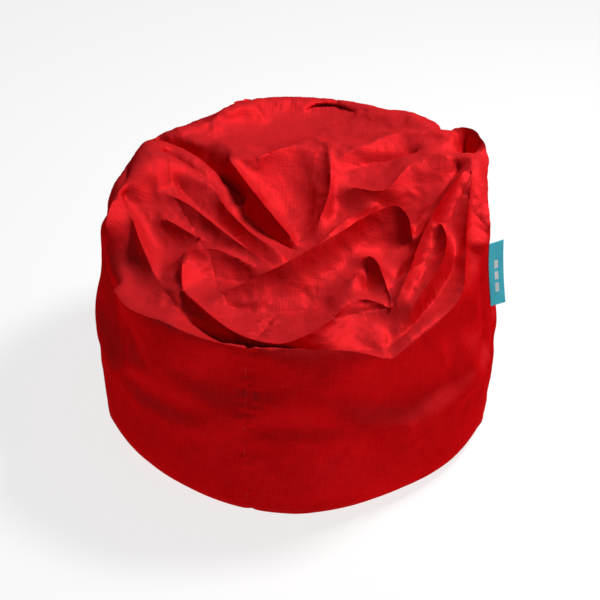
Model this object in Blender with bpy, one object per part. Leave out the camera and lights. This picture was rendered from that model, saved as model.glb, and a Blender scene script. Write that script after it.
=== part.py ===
"""A bean bag chair: a sewn drum-shaped cover of four side panels, a crown panel and a base panel, closed by a
zip in its rear seam, over a zipped liner full of beads. It stands on its base, with the seat towards -Y.

Azimuths are in degrees, seen from above: 0 is the front (-Y) and 90 is +X. Everything is in metres."""

import math

import bmesh
import bpy
from mathutils import Vector

# Overall shape of the filled cover
WALL_RADIUS = 0.385
FLOOR_INSET = 0.013  # from the wall in to the edge of the floor
TUCK_HEIGHT = 0.06  # how far up the wall curves in to the base seam
SEAT_HEIGHT = 0.375
BACK_HEIGHT = 0.51
BACK_DEPTH = 0.22  # how far back the seat takes to rise to the back's height
SIDE_WRAP = 0.45  # how much further forward the raised back reaches at the sides
MIDDLE_ROUND = 0.06  # how softly the two raised sides meet in the middle of the seat
RIM_ROUND = 0.05

# Cover panels
FABRIC = 0.0015
SEAM_GAP = 0.0016
FRONT_SEAM = -13.0
PANELS = ("front_right", "back_right", "back_left", "front_left")
PANEL_COLUMNS = 12
SHOULDER_RIGHT = 0.005  # how far the side panels run in over the top, from the rim to the crown's seam
SHOULDER_LEFT = 0.065
SHOULDER_FRONT = 0.080
SHOULDER_BACK = 0.090

# Liner and filling
LINER_INSET = 0.012  # from the cover's outer face to the liner's
LINER_FABRIC = 0.0012
FILL_CLEARANCE = 0.0010

# Label
LABEL_WIDTH = 0.033
LABEL_HEIGHT = 0.14
LABEL_THICKNESS = 0.0012
LABEL_MIDDLE = 0.333
LABEL_LEAN = 40.0  # how far the label leans back from straight out
HINGE_STANDOFF = 0.0012

# Zips
TAPE_WIDTH = 0.014
TAPE_THICKNESS = 0.0008
TAPE_END = 0.010  # how far the tape runs on past the chain
TAPE_CLEARANCE = 0.0016  # from the inner face of the fabric to the tape
CHAIN_WIDTH = 0.0024
CHAIN_THICKNESS = 0.0024
CHAIN_GAP = 0.0016  # between the two halves of the chain
LAID_ON = 0.0003  # between a piece and what it lies on
SLIDER_LENGTH = 0.012
SLIDER_PLATE = 0.0012
SLIDER_FLANGE = 0.0011
SLIDER_POST = 0.0010
SLIDER_LUG = 0.0012
SLIDER_CLEARANCE = 0.0004
STOP_LENGTH = 0.003
STOP_CLEARANCE = 0.0005
COVER_ZIP_FOOT = 0.090
COVER_ZIP_LENGTH = 0.350
LINER_ZIP_FOOT = 0.130
LINER_ZIP_LENGTH = 0.200
GARAGE_WIDTH = 0.028
GARAGE_LENGTH = 0.036
GARAGE_DEPTH = 0.0048
GARAGE_WALL = 0.0010

# How finely curved surfaces are divided
FLOOR_STEPS = 2
TUCK_STEPS = 3
WALL_STEPS = 3
RIM_STEPS = 4
TOP_STEPS = 5

FLOOR_RADIUS = WALL_RADIUS - FLOOR_INSET
RIM_END = WALL_RADIUS - RIM_ROUND
CROWN_HALF_WIDTH = RIM_END - (SHOULDER_RIGHT + SHOULDER_LEFT) / 2
CROWN_HALF_DEPTH = RIM_END - (SHOULDER_FRONT + SHOULDER_BACK) / 2
CROWN_CENTRE = ((SHOULDER_LEFT - SHOULDER_RIGHT) / 2, (SHOULDER_FRONT - SHOULDER_BACK) / 2)
STEEPEST = 1.5 * (BACK_HEIGHT - SEAT_HEIGHT) / BACK_DEPTH * math.sqrt(1 + SIDE_WRAP**2)
STEEPNESS = math.sqrt(1 + STEEPEST**2)  # depth straight down for each unit of depth square to the steepest slope
COLUMN_ANGLE = 90.0 / PANEL_COLUMNS
BACK_SEAM = FRONT_SEAM + 180.0
RIGHT_SEAM = FRONT_SEAM + 90.0
LEFT_SEAM = FRONT_SEAM + 270.0

MATERIALS = {
    "cover_fabric": ((0.56, 0.006, 0.010), 0.38, 0.0),
    "base_fabric": ((0.30, 0.004, 0.006), 0.60, 0.0),
    "zip_tape": ((0.42, 0.006, 0.010), 0.75, 0.0),
    "zip_coil": ((0.45, 0.006, 0.010), 0.40, 0.0),
    "slider_metal": ((0.33, 0.33, 0.35), 0.35, 1.0),
    "label_fabric": ((0.010, 0.42, 0.55), 0.55, 0.0),
    "liner_fabric": ((0.80, 0.80, 0.78), 0.80, 0.0),
    "beads": ((0.90, 0.90, 0.90), 0.60, 0.0),
}


def clear_scene():
    for item in list(bpy.data.objects):
        bpy.data.objects.remove(item)


def make_materials():
    made = {}
    for name, (colour, roughness, metallic) in MATERIALS.items():
        material = bpy.data.materials.new(name)
        material.use_nodes = True
        shader = material.node_tree.nodes["Principled BSDF"]
        shader.inputs["Base Color"].default_value = (*colour, 1.0)
        shader.inputs["Roughness"].default_value = roughness
        shader.inputs["Metallic"].default_value = metallic
        made[name] = material
    return made


def add_object(name, mesh, material, parent=None, location=(0, 0, 0)):
    item = bpy.data.objects.new(name, mesh)
    bpy.context.scene.collection.objects.link(item)
    if material:
        item.data.materials.append(material)
    item.parent = parent
    item.location = location
    return item


def add_empty(name, azimuth, parent=None, location=(0, 0, 0)):
    """An empty turned so that its own -Y points out along the azimuth, and +X along the wall."""
    item = bpy.data.objects.new(name, None)
    bpy.context.scene.collection.objects.link(item)
    item.rotation_euler.z = math.radians(azimuth)
    item.parent = parent
    item.location = location
    return item


def finish_mesh(name, shape, smooth_angle=None):
    bmesh.ops.recalc_face_normals(shape, faces=shape.faces)
    mesh = bpy.data.meshes.new(name)
    shape.to_mesh(mesh)
    shape.free()
    if smooth_angle is not None:
        mesh.shade_smooth()
        mesh.set_sharp_from_angle(angle=math.radians(smooth_angle))
    return mesh


def box_mesh(name, low, high):
    shape = bmesh.new()
    bmesh.ops.create_cube(shape, size=1.0)
    for vertex in shape.verts:
        vertex.co = Vector(
            high[k] if vertex.co[k] > 0 else low[k] for k in range(3)
        )
    return finish_mesh(name, shape)


def prism_mesh(name, outline, foot, top):
    """An outline of (across, outwards) points, drawn upwards from foot to top. Outwards is local -Y."""
    shape = bmesh.new()
    corners = [shape.verts.new((across, -out, foot)) for across, out in outline]
    face = shape.faces.new(corners)
    drawn = bmesh.ops.extrude_face_region(shape, geom=[face])
    raised = [item for item in drawn["geom"] if isinstance(item, bmesh.types.BMVert)]
    bmesh.ops.translate(shape, verts=raised, vec=(0, 0, top - foot))
    return finish_mesh(name, shape)


def direction(azimuth):
    angle = math.radians(azimuth)
    return Vector((math.sin(angle), -math.cos(angle), 0))


def smooth_step(share):
    share = min(max(share, 0.0), 1.0)
    return share * share * (3 - 2 * share)


def top_height(place):
    """Height of the slumped top over a place in plan: a seat in front that rises to the back and sides."""
    back = place.y + SIDE_WRAP * (math.hypot(place.x, MIDDLE_ROUND) - MIDDLE_ROUND)
    return SEAT_HEIGHT + (BACK_HEIGHT - SEAT_HEIGHT) * smooth_step(back / BACK_DEPTH)


def crown_seam_radius(azimuth):
    """Distance in plan from the bag's axis to the crown's seam, an ellipse, along an azimuth."""
    out, centre = direction(azimuth), Vector((*CROWN_CENTRE, 0))
    wide, deep = CROWN_HALF_WIDTH**2, CROWN_HALF_DEPTH**2
    a = out.x**2 / wide + out.y**2 / deep
    b = out.x * centre.x / wide + out.y * centre.y / deep
    c = centre.x**2 / wide + centre.y**2 / deep - 1
    return (b + math.sqrt(b * b - a * c)) / a


def side_profile(azimuth, inset, inner_end):
    """Points up the tuck, the wall and the rim, and in over the top as far as the radius inner_end."""
    out = direction(azimuth)
    wall, floor = WALL_RADIUS - inset, FLOOR_RADIUS - inset
    points = []
    for i in range(TUCK_STEPS + 1):
        turn = math.pi / 2 * i / TUCK_STEPS
        radius = floor + (wall - floor) * math.sin(turn)
        points.append(out * radius + Vector((0, 0, inset + TUCK_HEIGHT * (1 - math.cos(turn)))))
    wall_top = top_height(out * wall) - inset - RIM_ROUND
    wall_foot = inset + TUCK_HEIGHT
    for i in range(1, WALL_STEPS):
        points.append(out * wall + Vector((0, 0, wall_foot + (wall_top - wall_foot) * i / WALL_STEPS)))
    for i in range(RIM_STEPS + 1):
        turn = math.pi / 2 * i / RIM_STEPS
        flat = out * (wall - RIM_ROUND * (1 - math.cos(turn)))
        rise = top_height(flat) - inset - RIM_ROUND * (1 - math.sin(turn))
        points.append(flat + Vector((0, 0, rise)))
    rim_end = wall - RIM_ROUND
    for i in range(1, TOP_STEPS + 1):
        flat = out * (rim_end + (inner_end - rim_end) * i / TOP_STEPS)
        points.append(flat + Vector((0, 0, top_height(flat) - inset)))
    return points


def grid_faces(shape, columns, closed):
    rows = len(columns[0])
    last = len(columns) if closed else len(columns) - 1
    for i in range(last):
        near, far = columns[i], columns[(i + 1) % len(columns)]
        for j in range(rows - 1):
            shape.faces.new((near[j], far[j], far[j + 1], near[j + 1]))


def add_walls(item, thickness):
    solid = item.modifiers.new("fabric thickness", "SOLIDIFY")
    solid.thickness = thickness
    solid.offset = -1
    solid.use_even_offset = False


def cut(item, cutter):
    cutter.hide_render = True
    cutter.display_type = "WIRE"
    modifier = item.modifiers.new("cut " + cutter.name, "BOOLEAN")
    modifier.operation = "DIFFERENCE"
    modifier.object = cutter


def make_side_panel(name, first_seam, material):
    """One quarter of the wall, with the part of the top that it turns in to the crown's seam."""
    shape = bmesh.new()
    columns = []
    for i in range(PANEL_COLUMNS + 1):
        azimuth = first_seam + i * COLUMN_ANGLE
        along = direction(azimuth + 90) * SEAM_GAP / 2
        aside = along if i == 0 else -along if i == PANEL_COLUMNS else Vector()
        inner_end = crown_seam_radius(azimuth) + SEAM_GAP / 2
        columns.append([shape.verts.new(p + aside) for p in side_profile(azimuth, 0, inner_end)])
    grid_faces(shape, columns, closed=False)
    panel = add_object(name, finish_mesh(name, shape, 40), material)
    if panel.data.polygons[0].normal.dot(direction(first_seam)) < 0:
        panel.data.flip_normals()
    add_walls(panel, FABRIC)
    return panel


def make_crown(material):
    shape = bmesh.new()
    centre = shape.verts.new((0, 0, top_height(Vector((0, 0, 0)))))
    columns = []
    for i in range(4 * PANEL_COLUMNS):
        azimuth = FRONT_SEAM + i * COLUMN_ANGLE
        edge = crown_seam_radius(azimuth) - SEAM_GAP / 2
        column = []
        for j in range(TOP_STEPS):
            flat = direction(azimuth) * edge * (1 - j / TOP_STEPS)
            column.append(shape.verts.new(flat + Vector((0, 0, top_height(flat)))))
        columns.append(column)
    grid_faces(shape, columns, closed=True)
    for i, column in enumerate(columns):
        shape.faces.new((column[-1], columns[(i + 1) % len(columns)][-1], centre))
    crown = add_object("crown_panel", finish_mesh("crown_panel", shape, 40), material)
    if crown.data.polygons[0].normal.z < 0:
        crown.data.flip_normals()
    add_walls(crown, FABRIC)


def make_base(material):
    """A flat disc inside the foot of the wall, whose underside the bag stands on."""
    shape = bmesh.new()
    radius = FLOOR_RADIUS - FABRIC - SEAM_GAP
    ring = []
    for i in range(4 * PANEL_COLUMNS):
        azimuth = FRONT_SEAM + i * COLUMN_ANGLE
        ring.append(shape.verts.new(direction(azimuth) * radius))
    shape.faces.new(ring)
    drawn = bmesh.ops.extrude_face_region(shape, geom=list(shape.faces))
    raised = [item for item in drawn["geom"] if isinstance(item, bmesh.types.BMVert)]
    bmesh.ops.translate(shape, verts=raised, vec=(0, 0, FABRIC))
    return add_object("base_panel", finish_mesh("base_panel", shape, 40), material)


def closed_bag_mesh(name, inset):
    """The whole bag's outline drawn in by inset, as one closed surface."""
    shape = bmesh.new()
    bottom = shape.verts.new((0, 0, inset))
    top = shape.verts.new((0, 0, top_height(Vector((0, 0, 0))) - inset))
    columns = []
    for i in range(4 * PANEL_COLUMNS):
        azimuth = FRONT_SEAM + i * COLUMN_ANGLE
        floor = [
            direction(azimuth) * (FLOOR_RADIUS - inset) * j / FLOOR_STEPS + Vector((0, 0, inset))
            for j in range(1, FLOOR_STEPS)
        ]
        inner_end = (WALL_RADIUS - inset - RIM_ROUND) / (TOP_STEPS + 1)
        column = floor + side_profile(azimuth, inset, inner_end)
        columns.append([shape.verts.new(point) for point in column])
    grid_faces(shape, columns, closed=True)
    for i, column in enumerate(columns):
        following = columns[(i + 1) % len(columns)]
        shape.faces.new((column[-1], following[-1], top))
        shape.faces.new((following[0], column[0], bottom))
    return finish_mesh(name, shape, 40)


def make_zip(name, azimuth, wall_radius, fabric, foot, length, materials):
    """A coil zip along a straight upright seam, with its slider parked at the foot. The slider's empty sits on
    the line that it travels along."""
    frame = add_empty(name + "_frame", azimuth)
    tape_out = wall_radius - fabric - TAPE_CLEARANCE
    tape_in = tape_out - TAPE_THICKNESS
    chain_in = tape_out + LAID_ON
    chain_out = chain_in + CHAIN_THICKNESS
    half_gap = CHAIN_GAP / 2
    top = foot + length
    for side, sign in (("left", -1), ("right", 1)):
        across = sorted((sign * half_gap, sign * (half_gap + TAPE_WIDTH)))
        low = (across[0], -tape_out, foot - TAPE_END)
        high = (across[1], -tape_in, top + TAPE_END)
        tape = f"{name}_tape_{side}"
        add_object(tape, box_mesh(tape, low, high), materials["zip_tape"], frame)
        across = sorted((sign * half_gap, sign * (half_gap + CHAIN_WIDTH)))
        chain = f"{name}_chain_{side}"
        low = (across[0], -chain_out, foot)
        high = (across[1], -chain_in, top)
        add_object(chain, box_mesh(chain, low, high), materials["zip_coil"], frame)
    half_stop = half_gap + CHAIN_WIDTH + SLIDER_FLANGE
    for end, low_z, high_z in (
        ("bottom", foot - LAID_ON - STOP_LENGTH, foot - LAID_ON),
        ("top", top + LAID_ON, top + LAID_ON + STOP_LENGTH),
    ):
        stop = f"{name}_{end}_stop"
        low, high = (-half_stop, -chain_out, low_z), (half_stop, -chain_in, high_z)
        add_object(stop, box_mesh(stop, low, high), materials["slider_metal"], frame)
    make_slider(name + "_slider", frame, tape_in, chain_in, chain_out, foot, materials["slider_metal"])
    return frame, tape_out


def make_slider(name, frame, tape_in, chain_in, chain_out, foot, material):
    """Two plates joined by a post that runs between the halves of the chain, with flanges round the chain."""
    inner_high = tape_in - SLIDER_CLEARANCE
    inner_low = inner_high - SLIDER_PLATE
    outer_low = chain_out + SLIDER_CLEARANCE
    outer_high = outer_low + SLIDER_PLATE
    post, lug = SLIDER_POST / 2, SLIDER_PLATE
    flange_in = CHAIN_GAP / 2 + CHAIN_WIDTH + SLIDER_CLEARANCE
    flange_out = flange_in + SLIDER_FLANGE
    flange_tip = chain_in + SLIDER_CLEARANCE
    half = [
        (flange_out, inner_low),
        (flange_out, inner_high),
        (post, inner_high),
        (post, outer_low),
        (flange_in, outer_low),
        (flange_in, flange_tip),
        (flange_out, flange_tip),
        (flange_out, outer_high),
        (lug, outer_high),
        (lug, outer_high + SLIDER_LUG),
    ]
    middle = chain_in
    outline = [(across, out - middle) for across, out in half]
    outline += [(-across, out) for across, out in reversed(outline)]
    parked = foot + STOP_CLEARANCE + SLIDER_LENGTH / 2
    mesh = prism_mesh(name, outline, -SLIDER_LENGTH / 2, SLIDER_LENGTH / 2)
    add_object(name, mesh, material, frame, (0, -middle, parked))


def make_garage(frame, material):
    """A small pocket over the parked slider, open at its upper end, so that a child can't reach the slider."""
    low = (-GARAGE_WIDTH / 2, -WALL_RADIUS - LAID_ON - GARAGE_DEPTH, COVER_ZIP_FOOT - TAPE_END)
    high = (GARAGE_WIDTH / 2, -WALL_RADIUS - LAID_ON, low[2] + GARAGE_LENGTH)
    garage = add_object("zip_garage", box_mesh("zip_garage", low, high), material, frame)
    hollow_low = (low[0] + GARAGE_WALL, low[1] + GARAGE_WALL, low[2] + GARAGE_WALL)
    hollow_high = (high[0] - GARAGE_WALL, high[1] + GARAGE_DEPTH, high[2] + GARAGE_LENGTH)
    hollow = add_object("garage_hollow", box_mesh("garage_hollow", hollow_low, hollow_high), None, frame)
    cut(garage, hollow)


def make_label(material):
    """A cloth label sewn into the right-hand seam, which swings about the seam."""
    out = direction(RIGHT_SEAM) * (WALL_RADIUS + HINGE_STANDOFF)
    hinge = add_empty("label_hinge", RIGHT_SEAM + LABEL_LEAN, None, out + Vector((0, 0, LABEL_MIDDLE)))
    low = (-LABEL_THICKNESS / 2, -LABEL_WIDTH, -LABEL_HEIGHT / 2)
    high = (LABEL_THICKNESS / 2, 0, LABEL_HEIGHT / 2)
    add_object("side_label", box_mesh("side_label", low, high), material, hinge)


def make_cover(materials):
    panels = {}
    for i, place in enumerate(PANELS):
        name = "side_panel_" + place
        panels[place] = make_side_panel(name, FRONT_SEAM + 90 * i, materials["cover_fabric"])
    make_crown(materials["cover_fabric"])
    make_base(materials["base_fabric"])
    frame, _ = make_zip(
        "cover_zip", BACK_SEAM, WALL_RADIUS, FABRIC, COVER_ZIP_FOOT, COVER_ZIP_LENGTH, materials
    )
    half_mouth = CHAIN_GAP / 2 + CHAIN_WIDTH + SLIDER_FLANGE + 5 * SLIDER_CLEARANCE
    end = STOP_LENGTH + 5 * SLIDER_CLEARANCE
    low = (-half_mouth, -WALL_RADIUS - TAPE_WIDTH, COVER_ZIP_FOOT - end)
    high = (half_mouth, -WALL_RADIUS + TAPE_WIDTH, COVER_ZIP_FOOT + COVER_ZIP_LENGTH + end)
    mouth = add_object("cover_zip_mouth", box_mesh("cover_zip_mouth", low, high), None, frame)
    cut(panels["back_right"], mouth)
    cut(panels["back_left"], mouth)
    make_garage(frame, materials["cover_fabric"])
    make_label(materials["label_fabric"])


def make_filling(materials):
    """The liner is an open shell with its mouth behind its own zip, and the beads fill it."""
    liner = add_object("liner_bag", closed_bag_mesh("liner_bag", LINER_INSET), materials["liner_fabric"])
    add_walls(liner, LINER_FABRIC)
    zip_wall = WALL_RADIUS - LINER_INSET + TAPE_CLEARANCE + TAPE_THICKNESS + SLIDER_PLATE + 2 * SLIDER_CLEARANCE
    frame, tape_out = make_zip(
        "liner_zip", LEFT_SEAM, zip_wall, 0, LINER_ZIP_FOOT, LINER_ZIP_LENGTH, materials
    )
    half_mouth = TAPE_WIDTH / 2
    low = (-half_mouth, -WALL_RADIUS, LINER_ZIP_FOOT)
    high = (half_mouth, -WALL_RADIUS + 2 * LINER_INSET, LINER_ZIP_FOOT + LINER_ZIP_LENGTH)
    mouth = add_object("liner_mouth", box_mesh("liner_mouth", low, high), None, frame)
    cut(liner, mouth)
    inset = LINER_INSET + (LINER_FABRIC + FILL_CLEARANCE) * STEEPNESS
    add_object("bead_fill", closed_bag_mesh("bead_fill", inset), materials["beads"])


clear_scene()
all_materials = make_materials()
make_cover(all_materials)
make_filling(all_materials)
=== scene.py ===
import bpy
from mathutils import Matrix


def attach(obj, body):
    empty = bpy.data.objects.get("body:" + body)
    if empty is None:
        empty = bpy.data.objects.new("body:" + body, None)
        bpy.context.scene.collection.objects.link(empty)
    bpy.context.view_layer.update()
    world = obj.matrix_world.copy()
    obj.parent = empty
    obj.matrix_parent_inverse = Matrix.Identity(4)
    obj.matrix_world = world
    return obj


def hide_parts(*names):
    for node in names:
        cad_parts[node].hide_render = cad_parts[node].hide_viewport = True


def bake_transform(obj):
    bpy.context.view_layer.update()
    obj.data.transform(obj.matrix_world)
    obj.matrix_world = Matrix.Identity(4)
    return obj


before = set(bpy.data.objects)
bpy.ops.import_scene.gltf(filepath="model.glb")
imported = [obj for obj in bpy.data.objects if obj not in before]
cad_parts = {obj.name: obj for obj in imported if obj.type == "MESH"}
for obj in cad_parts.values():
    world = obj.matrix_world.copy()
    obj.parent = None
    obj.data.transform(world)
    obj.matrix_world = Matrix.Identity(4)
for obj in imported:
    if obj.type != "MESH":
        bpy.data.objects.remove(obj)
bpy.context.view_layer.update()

import math
import bmesh
import bpy
import numpy as np
from mathutils import Vector, noise
from mathutils.bvhtree import BVHTree
from mathutils.geometry import delaunay_2d_cdt
from mathutils.kdtree import KDTree

# Lengths are in metres, z is up and the seat faces -Y. An azimuth of 0 is the front, and 90 is +X.

studio = {
    "elevation": 34.9, "distance": 3.2, "lens": 97.3, "sideShift": 0.0047, "aimHeight": 0.2175,
    "floorHalf": 9, "floorColour": (0.28, 0.28, 0.28), "floorGlow": 0.78, "ambient": 0.09, "lampAim": 0.3,
    # name: place, size, power
    "lamps": {
        "key": ((1.1, 0.4, 2.3), 0.50, 54),
        "side": ((2.4, -1.2, 1.0), 0.8, 7),
        "front": ((-1.4, -2.4, 2.2), 1.6, 3),
    },
}


def pointAt(item, target):
    item.rotation_euler = (Vector(target) - item.location).to_track_quat("-Z", "Y").to_euler()


def addItem(name, data):
    item = bpy.data.objects.new(name, data)
    bpy.context.scene.collection.objects.link(item)
    return item


def addMesh(name, points, faces, materials=()):
    mesh = bpy.data.meshes.new(name)
    mesh.from_pydata([tuple(p) for p in points], [], [tuple(int(k) for k in f) for f in faces])
    mesh.update()
    for material in materials:
        mesh.materials.append(material)
    return addItem(name, mesh)


def startMaterial(name):
    material = bpy.data.materials.new(name)
    material.use_nodes = True
    return material, material.node_tree, material.node_tree.nodes["Principled BSDF"]


def setSockets(node, values):
    for socket, value in values.items():
        node.inputs[socket].default_value = value


def makeStudio():
    scene = bpy.context.scene
    scene.view_settings.view_transform = "Standard"
    camera = addItem("camera", bpy.data.cameras.new("camera"))
    tilt = math.radians(studio["elevation"])
    aim = Vector((0, 0, studio["aimHeight"]))
    camera.location = aim + Vector((0, -math.cos(tilt), math.sin(tilt))) * studio["distance"]
    pointAt(camera, aim)
    camera.data.lens = studio["lens"]
    camera.data.shift_x = studio["sideShift"]
    scene.camera = camera
    for name, (place, size, power) in studio["lamps"].items():
        lamp = bpy.data.lights.new(name, "AREA")
        lamp.size, lamp.energy = size, power
        item = addItem(name, lamp)
        item.location = place
        pointAt(item, (0, 0, studio["lampAim"]))
    world = bpy.data.worlds.new("softWhite")
    world.use_nodes = True
    setSockets(world.node_tree.nodes["Background"], {"Color": (1, 1, 1, 1), "Strength": studio["ambient"]})
    scene.world = world
    paint, _, shader = startMaterial("studioFloor")
    setSockets(shader, {
        "Base Color": (*studio["floorColour"], 1), "Roughness": 0.9, "Specular IOR Level": 0.1,
        "Emission Color": (1, 1, 1, 1), "Emission Strength": studio["floorGlow"],
    })
    half = studio["floorHalf"]
    corners = [(-half, -half, 0), (half, -half, 0), (half, half, 0), (-half, half, 0)]
    addMesh("floor", corners, [(0, 1, 2, 3)], [paint])


makeStudio()
print("studio ready")

# Finishes. A cloth piece carries a UV map called "cloth" that is its flat cut in metres.


def addNode(tree, kind, settings=None, sockets=None):
    node = tree.nodes.new(kind)
    for key, value in (settings or {}).items():
        setattr(node, key, value)
    setSockets(node, sockets or {})
    return node


def wire(tree, *pairs):
    for source, target in pairs:
        tree.links.new(source, target)


def addMath(tree, operation, *values):
    # each value is a number or the output of another node
    node = addNode(tree, "ShaderNodeMath", {"operation": operation})
    for socket, value in zip(node.inputs, values):
        if isinstance(value, (int, float)):
            socket.default_value = value
        else:
            tree.links.new(value, socket)
    return node.outputs[0]


def patternNoise(tree, source, stretch, scale, detail=3.0, roughness=0.55, kind="FBM"):
    place = addNode(tree, "ShaderNodeMapping", sockets={"Scale": stretch})
    pattern = addNode(tree, "ShaderNodeTexNoise", {"noise_type": kind},
                      {"Scale": scale, "Detail": detail, "Roughness": roughness})
    wire(tree, (source, place.inputs["Vector"]), (place.outputs["Vector"], pattern.inputs["Vector"]))
    return pattern.outputs["Fac"]


def mixColours(tree, factor, low, high, dark, light):
    ramp = addNode(tree, "ShaderNodeValToRGB")
    for stop, position, colour in zip(ramp.color_ramp.elements, (low, high), (dark, light)):
        stop.position = position
        stop.color = (*colour, 1)
    tree.links.new(factor, ramp.inputs["Fac"])
    return ramp.outputs["Color"]


def mapTo(tree, factor, low, high, start=0.3, end=0.7):
    sockets = {"From Min": start, "From Max": end, "To Min": low, "To Max": high}
    span = addNode(tree, "ShaderNodeMapRange", sockets=sockets)
    tree.links.new(factor, span.inputs["Value"])
    return span.outputs["Result"]


def addBump(tree, height, strength, distance, under=None):
    bump = addNode(tree, "ShaderNodeBump", sockets={"Strength": strength, "Distance": distance})
    tree.links.new(height, bump.inputs["Height"])
    if under:
        tree.links.new(under, bump.inputs["Normal"])
    return bump.outputs["Normal"]


# The third colour, mixed in where the cloth faces up, is a painted sheen of the key light.
nylonLook = {
    "deep": (0.43, 0.0018, 0.0032), "bright": (0.68, 0.0060, 0.0090), "faded": (0.66, 0.030, 0.036),
    "paintedTopSheenShare": 0.50, "cloudScale": 7.0, "roughness": (0.38, 0.54), "satin": 0.24,
    "glint": (1.0, 0.06, 0.07, 1), "crinkle": 0.0030, "crinkleScale": 20.0,
    "slub": 0.0005, "slubScale": 28.0, "slubStretch": 14.0,
}


def makeNylon(name, look):
    material, tree, shader = startMaterial(name)
    coords = addNode(tree, "ShaderNodeTexCoord").outputs
    stretch = look["slubStretch"]
    cloudy = patternNoise(tree, coords["Object"], (1, 1, 1), look["cloudScale"])
    slubAlong = patternNoise(tree, coords["UV"], (1.0, stretch, 1.0), look["slubScale"], 2.0)
    slubAcross = patternNoise(tree, coords["UV"], (stretch, 1.0, 1.0), look["slubScale"], 2.0)
    crinkle = patternNoise(tree, coords["Object"], (1, 1, 1), look["crinkleScale"], 5.0, 0.6,
                           "RIDGED_MULTIFRACTAL")
    threads = addMath(tree, "ADD", slubAlong, slubAcross)
    tone = addMath(tree, "MULTIPLY_ADD", threads, 0.35, 0.15)
    blend = addMath(tree, "MULTIPLY_ADD", cloudy, 0.5, tone)
    colour = mixColours(tree, blend, 0.55, 0.95, look["deep"], look["bright"])
    # painted sheen: where the cloth faces up towards the key light, its colour is mixed towards a paler
    # pinkish red
    facing = addNode(tree, "ShaderNodeSeparateXYZ")
    fade = addNode(tree, "ShaderNodeMix", {"data_type": "RGBA"}, {7: (*look["faded"], 1)})
    fine = addBump(tree, threads, 1.0, look["slub"], addBump(tree, crinkle, 1.0, look["crinkle"]))
    wire(tree, (addNode(tree, "ShaderNodeNewGeometry").outputs["Normal"], facing.inputs[0]),
         (mapTo(tree, facing.outputs["Z"], 0.0, look["paintedTopSheenShare"], 0.25, 0.95), fade.inputs[0]),
         (colour, fade.inputs[6]), (fade.outputs[2], shader.inputs["Base Color"]),
         (mapTo(tree, threads, *look["roughness"]), shader.inputs["Roughness"]),
         (fine, shader.inputs["Normal"]))
    setSockets(shader, {"Metallic": look["satin"], "Specular IOR Level": 0.0, "Specular Tint": look["glint"]})
    return material


def makeWeave(name, dark, light, threadScale, roughness, relief, sheen=0.2):
    material, tree, shader = startMaterial(name)
    coords = addNode(tree, "ShaderNodeTexCoord").outputs
    threads = []
    for direction in ("X", "Y"):
        thread = addNode(tree, "ShaderNodeTexWave", {"bands_direction": direction},
                         {"Scale": threadScale, "Distortion": 0.6})
        tree.links.new(coords["UV"], thread.inputs["Vector"])
        threads.append(thread.outputs["Fac"])
    worn = patternNoise(tree, coords["Object"], (1, 1, 1), 18.0)
    woven = addBump(tree, addMath(tree, "MULTIPLY", *threads), 1.0, relief)
    wire(tree, (mixColours(tree, worn, 0.3, 0.75, dark, light), shader.inputs["Base Color"]),
         (woven, shader.inputs["Normal"]))
    setSockets(shader, {"Roughness": roughness, "Sheen Weight": sheen, "Specular IOR Level": 0.3})
    return material


def makeMetal(name, dark, light, roughness):
    material, tree, shader = startMaterial(name)
    coords = addNode(tree, "ShaderNodeTexCoord").outputs
    brushed = patternNoise(tree, coords["Object"], (1, 1, 0.08), 900.0)
    worn = patternNoise(tree, coords["Object"], (1, 1, 1), 260.0)
    wire(tree, (mixColours(tree, worn, 0.35, 0.7, dark, light), shader.inputs["Base Color"]),
         (mapTo(tree, brushed, roughness - 0.08, roughness + 0.1), shader.inputs["Roughness"]),
         (addBump(tree, brushed, 0.5, 0.00005), shader.inputs["Normal"]))
    setSockets(shader, {"Metallic": 1.0})
    return material


def makeBeadFoam(name, dark, light, beadScale):
    material, tree, shader = startMaterial(name)
    coords = addNode(tree, "ShaderNodeTexCoord").outputs
    cells = addNode(tree, "ShaderNodeTexVoronoi", sockets={"Scale": beadScale})
    tree.links.new(coords["Object"], cells.inputs["Vector"])
    roundnessAndGapShade = addMath(tree, "SUBTRACT", 1.0, cells.outputs["Distance"])
    # the beads are painted darker towards the edges of their cells: painted shade between the beads, on top
    # of the bump
    wire(tree, (mixColours(tree, roundnessAndGapShade, 0.35, 0.75, dark, light), shader.inputs["Base Color"]),
         (addBump(tree, roundnessAndGapShade, 1.0, 0.002), shader.inputs["Normal"]))
    setSockets(shader, {"Roughness": 0.7, "Subsurface Weight": 0.15})
    return material


finishes = {
    "nylon": makeNylon("coverNylon", nylonLook),
    "canvas": makeWeave("baseCanvas", (0.20, 0.002, 0.004), (0.30, 0.004, 0.007), 300, 0.72, 0.0005),
    "thread": makeWeave("stitchThread", (0.42, 0.004, 0.007), (0.52, 0.006, 0.010), 900, 0.45, 0.0001),
    "tape": makeWeave("zipTape", (0.36, 0.003, 0.006), (0.46, 0.005, 0.009), 500, 0.7, 0.0002),
    "coil": makeWeave("zipCoil", (0.40, 0.004, 0.008), (0.50, 0.006, 0.010), 700, 0.35, 0.00005, 0.0),
    "metal": makeMetal("sliderMetal", (0.22, 0.22, 0.24), (0.42, 0.42, 0.44), 0.35),
    "label": makeWeave("labelWeave", (0.020, 0.56, 0.72), (0.035, 0.66, 0.82), 420, 0.5, 0.00025),
    "labelMark": makeWeave("labelMarkThread", (0.70, 0.80, 0.82), (0.85, 0.90, 0.92), 420, 0.5, 0.0002),
    "liner": makeWeave("linerCloth", (0.70, 0.70, 0.68), (0.82, 0.82, 0.80), 260, 0.85, 0.0004, 0.1),
    "beads": makeBeadFoam("foamBeads", (0.68, 0.68, 0.67), (0.93, 0.93, 0.92), 210),
}
print("finishes ready")

# The filled bag's own form, before its cloth folds.

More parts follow.
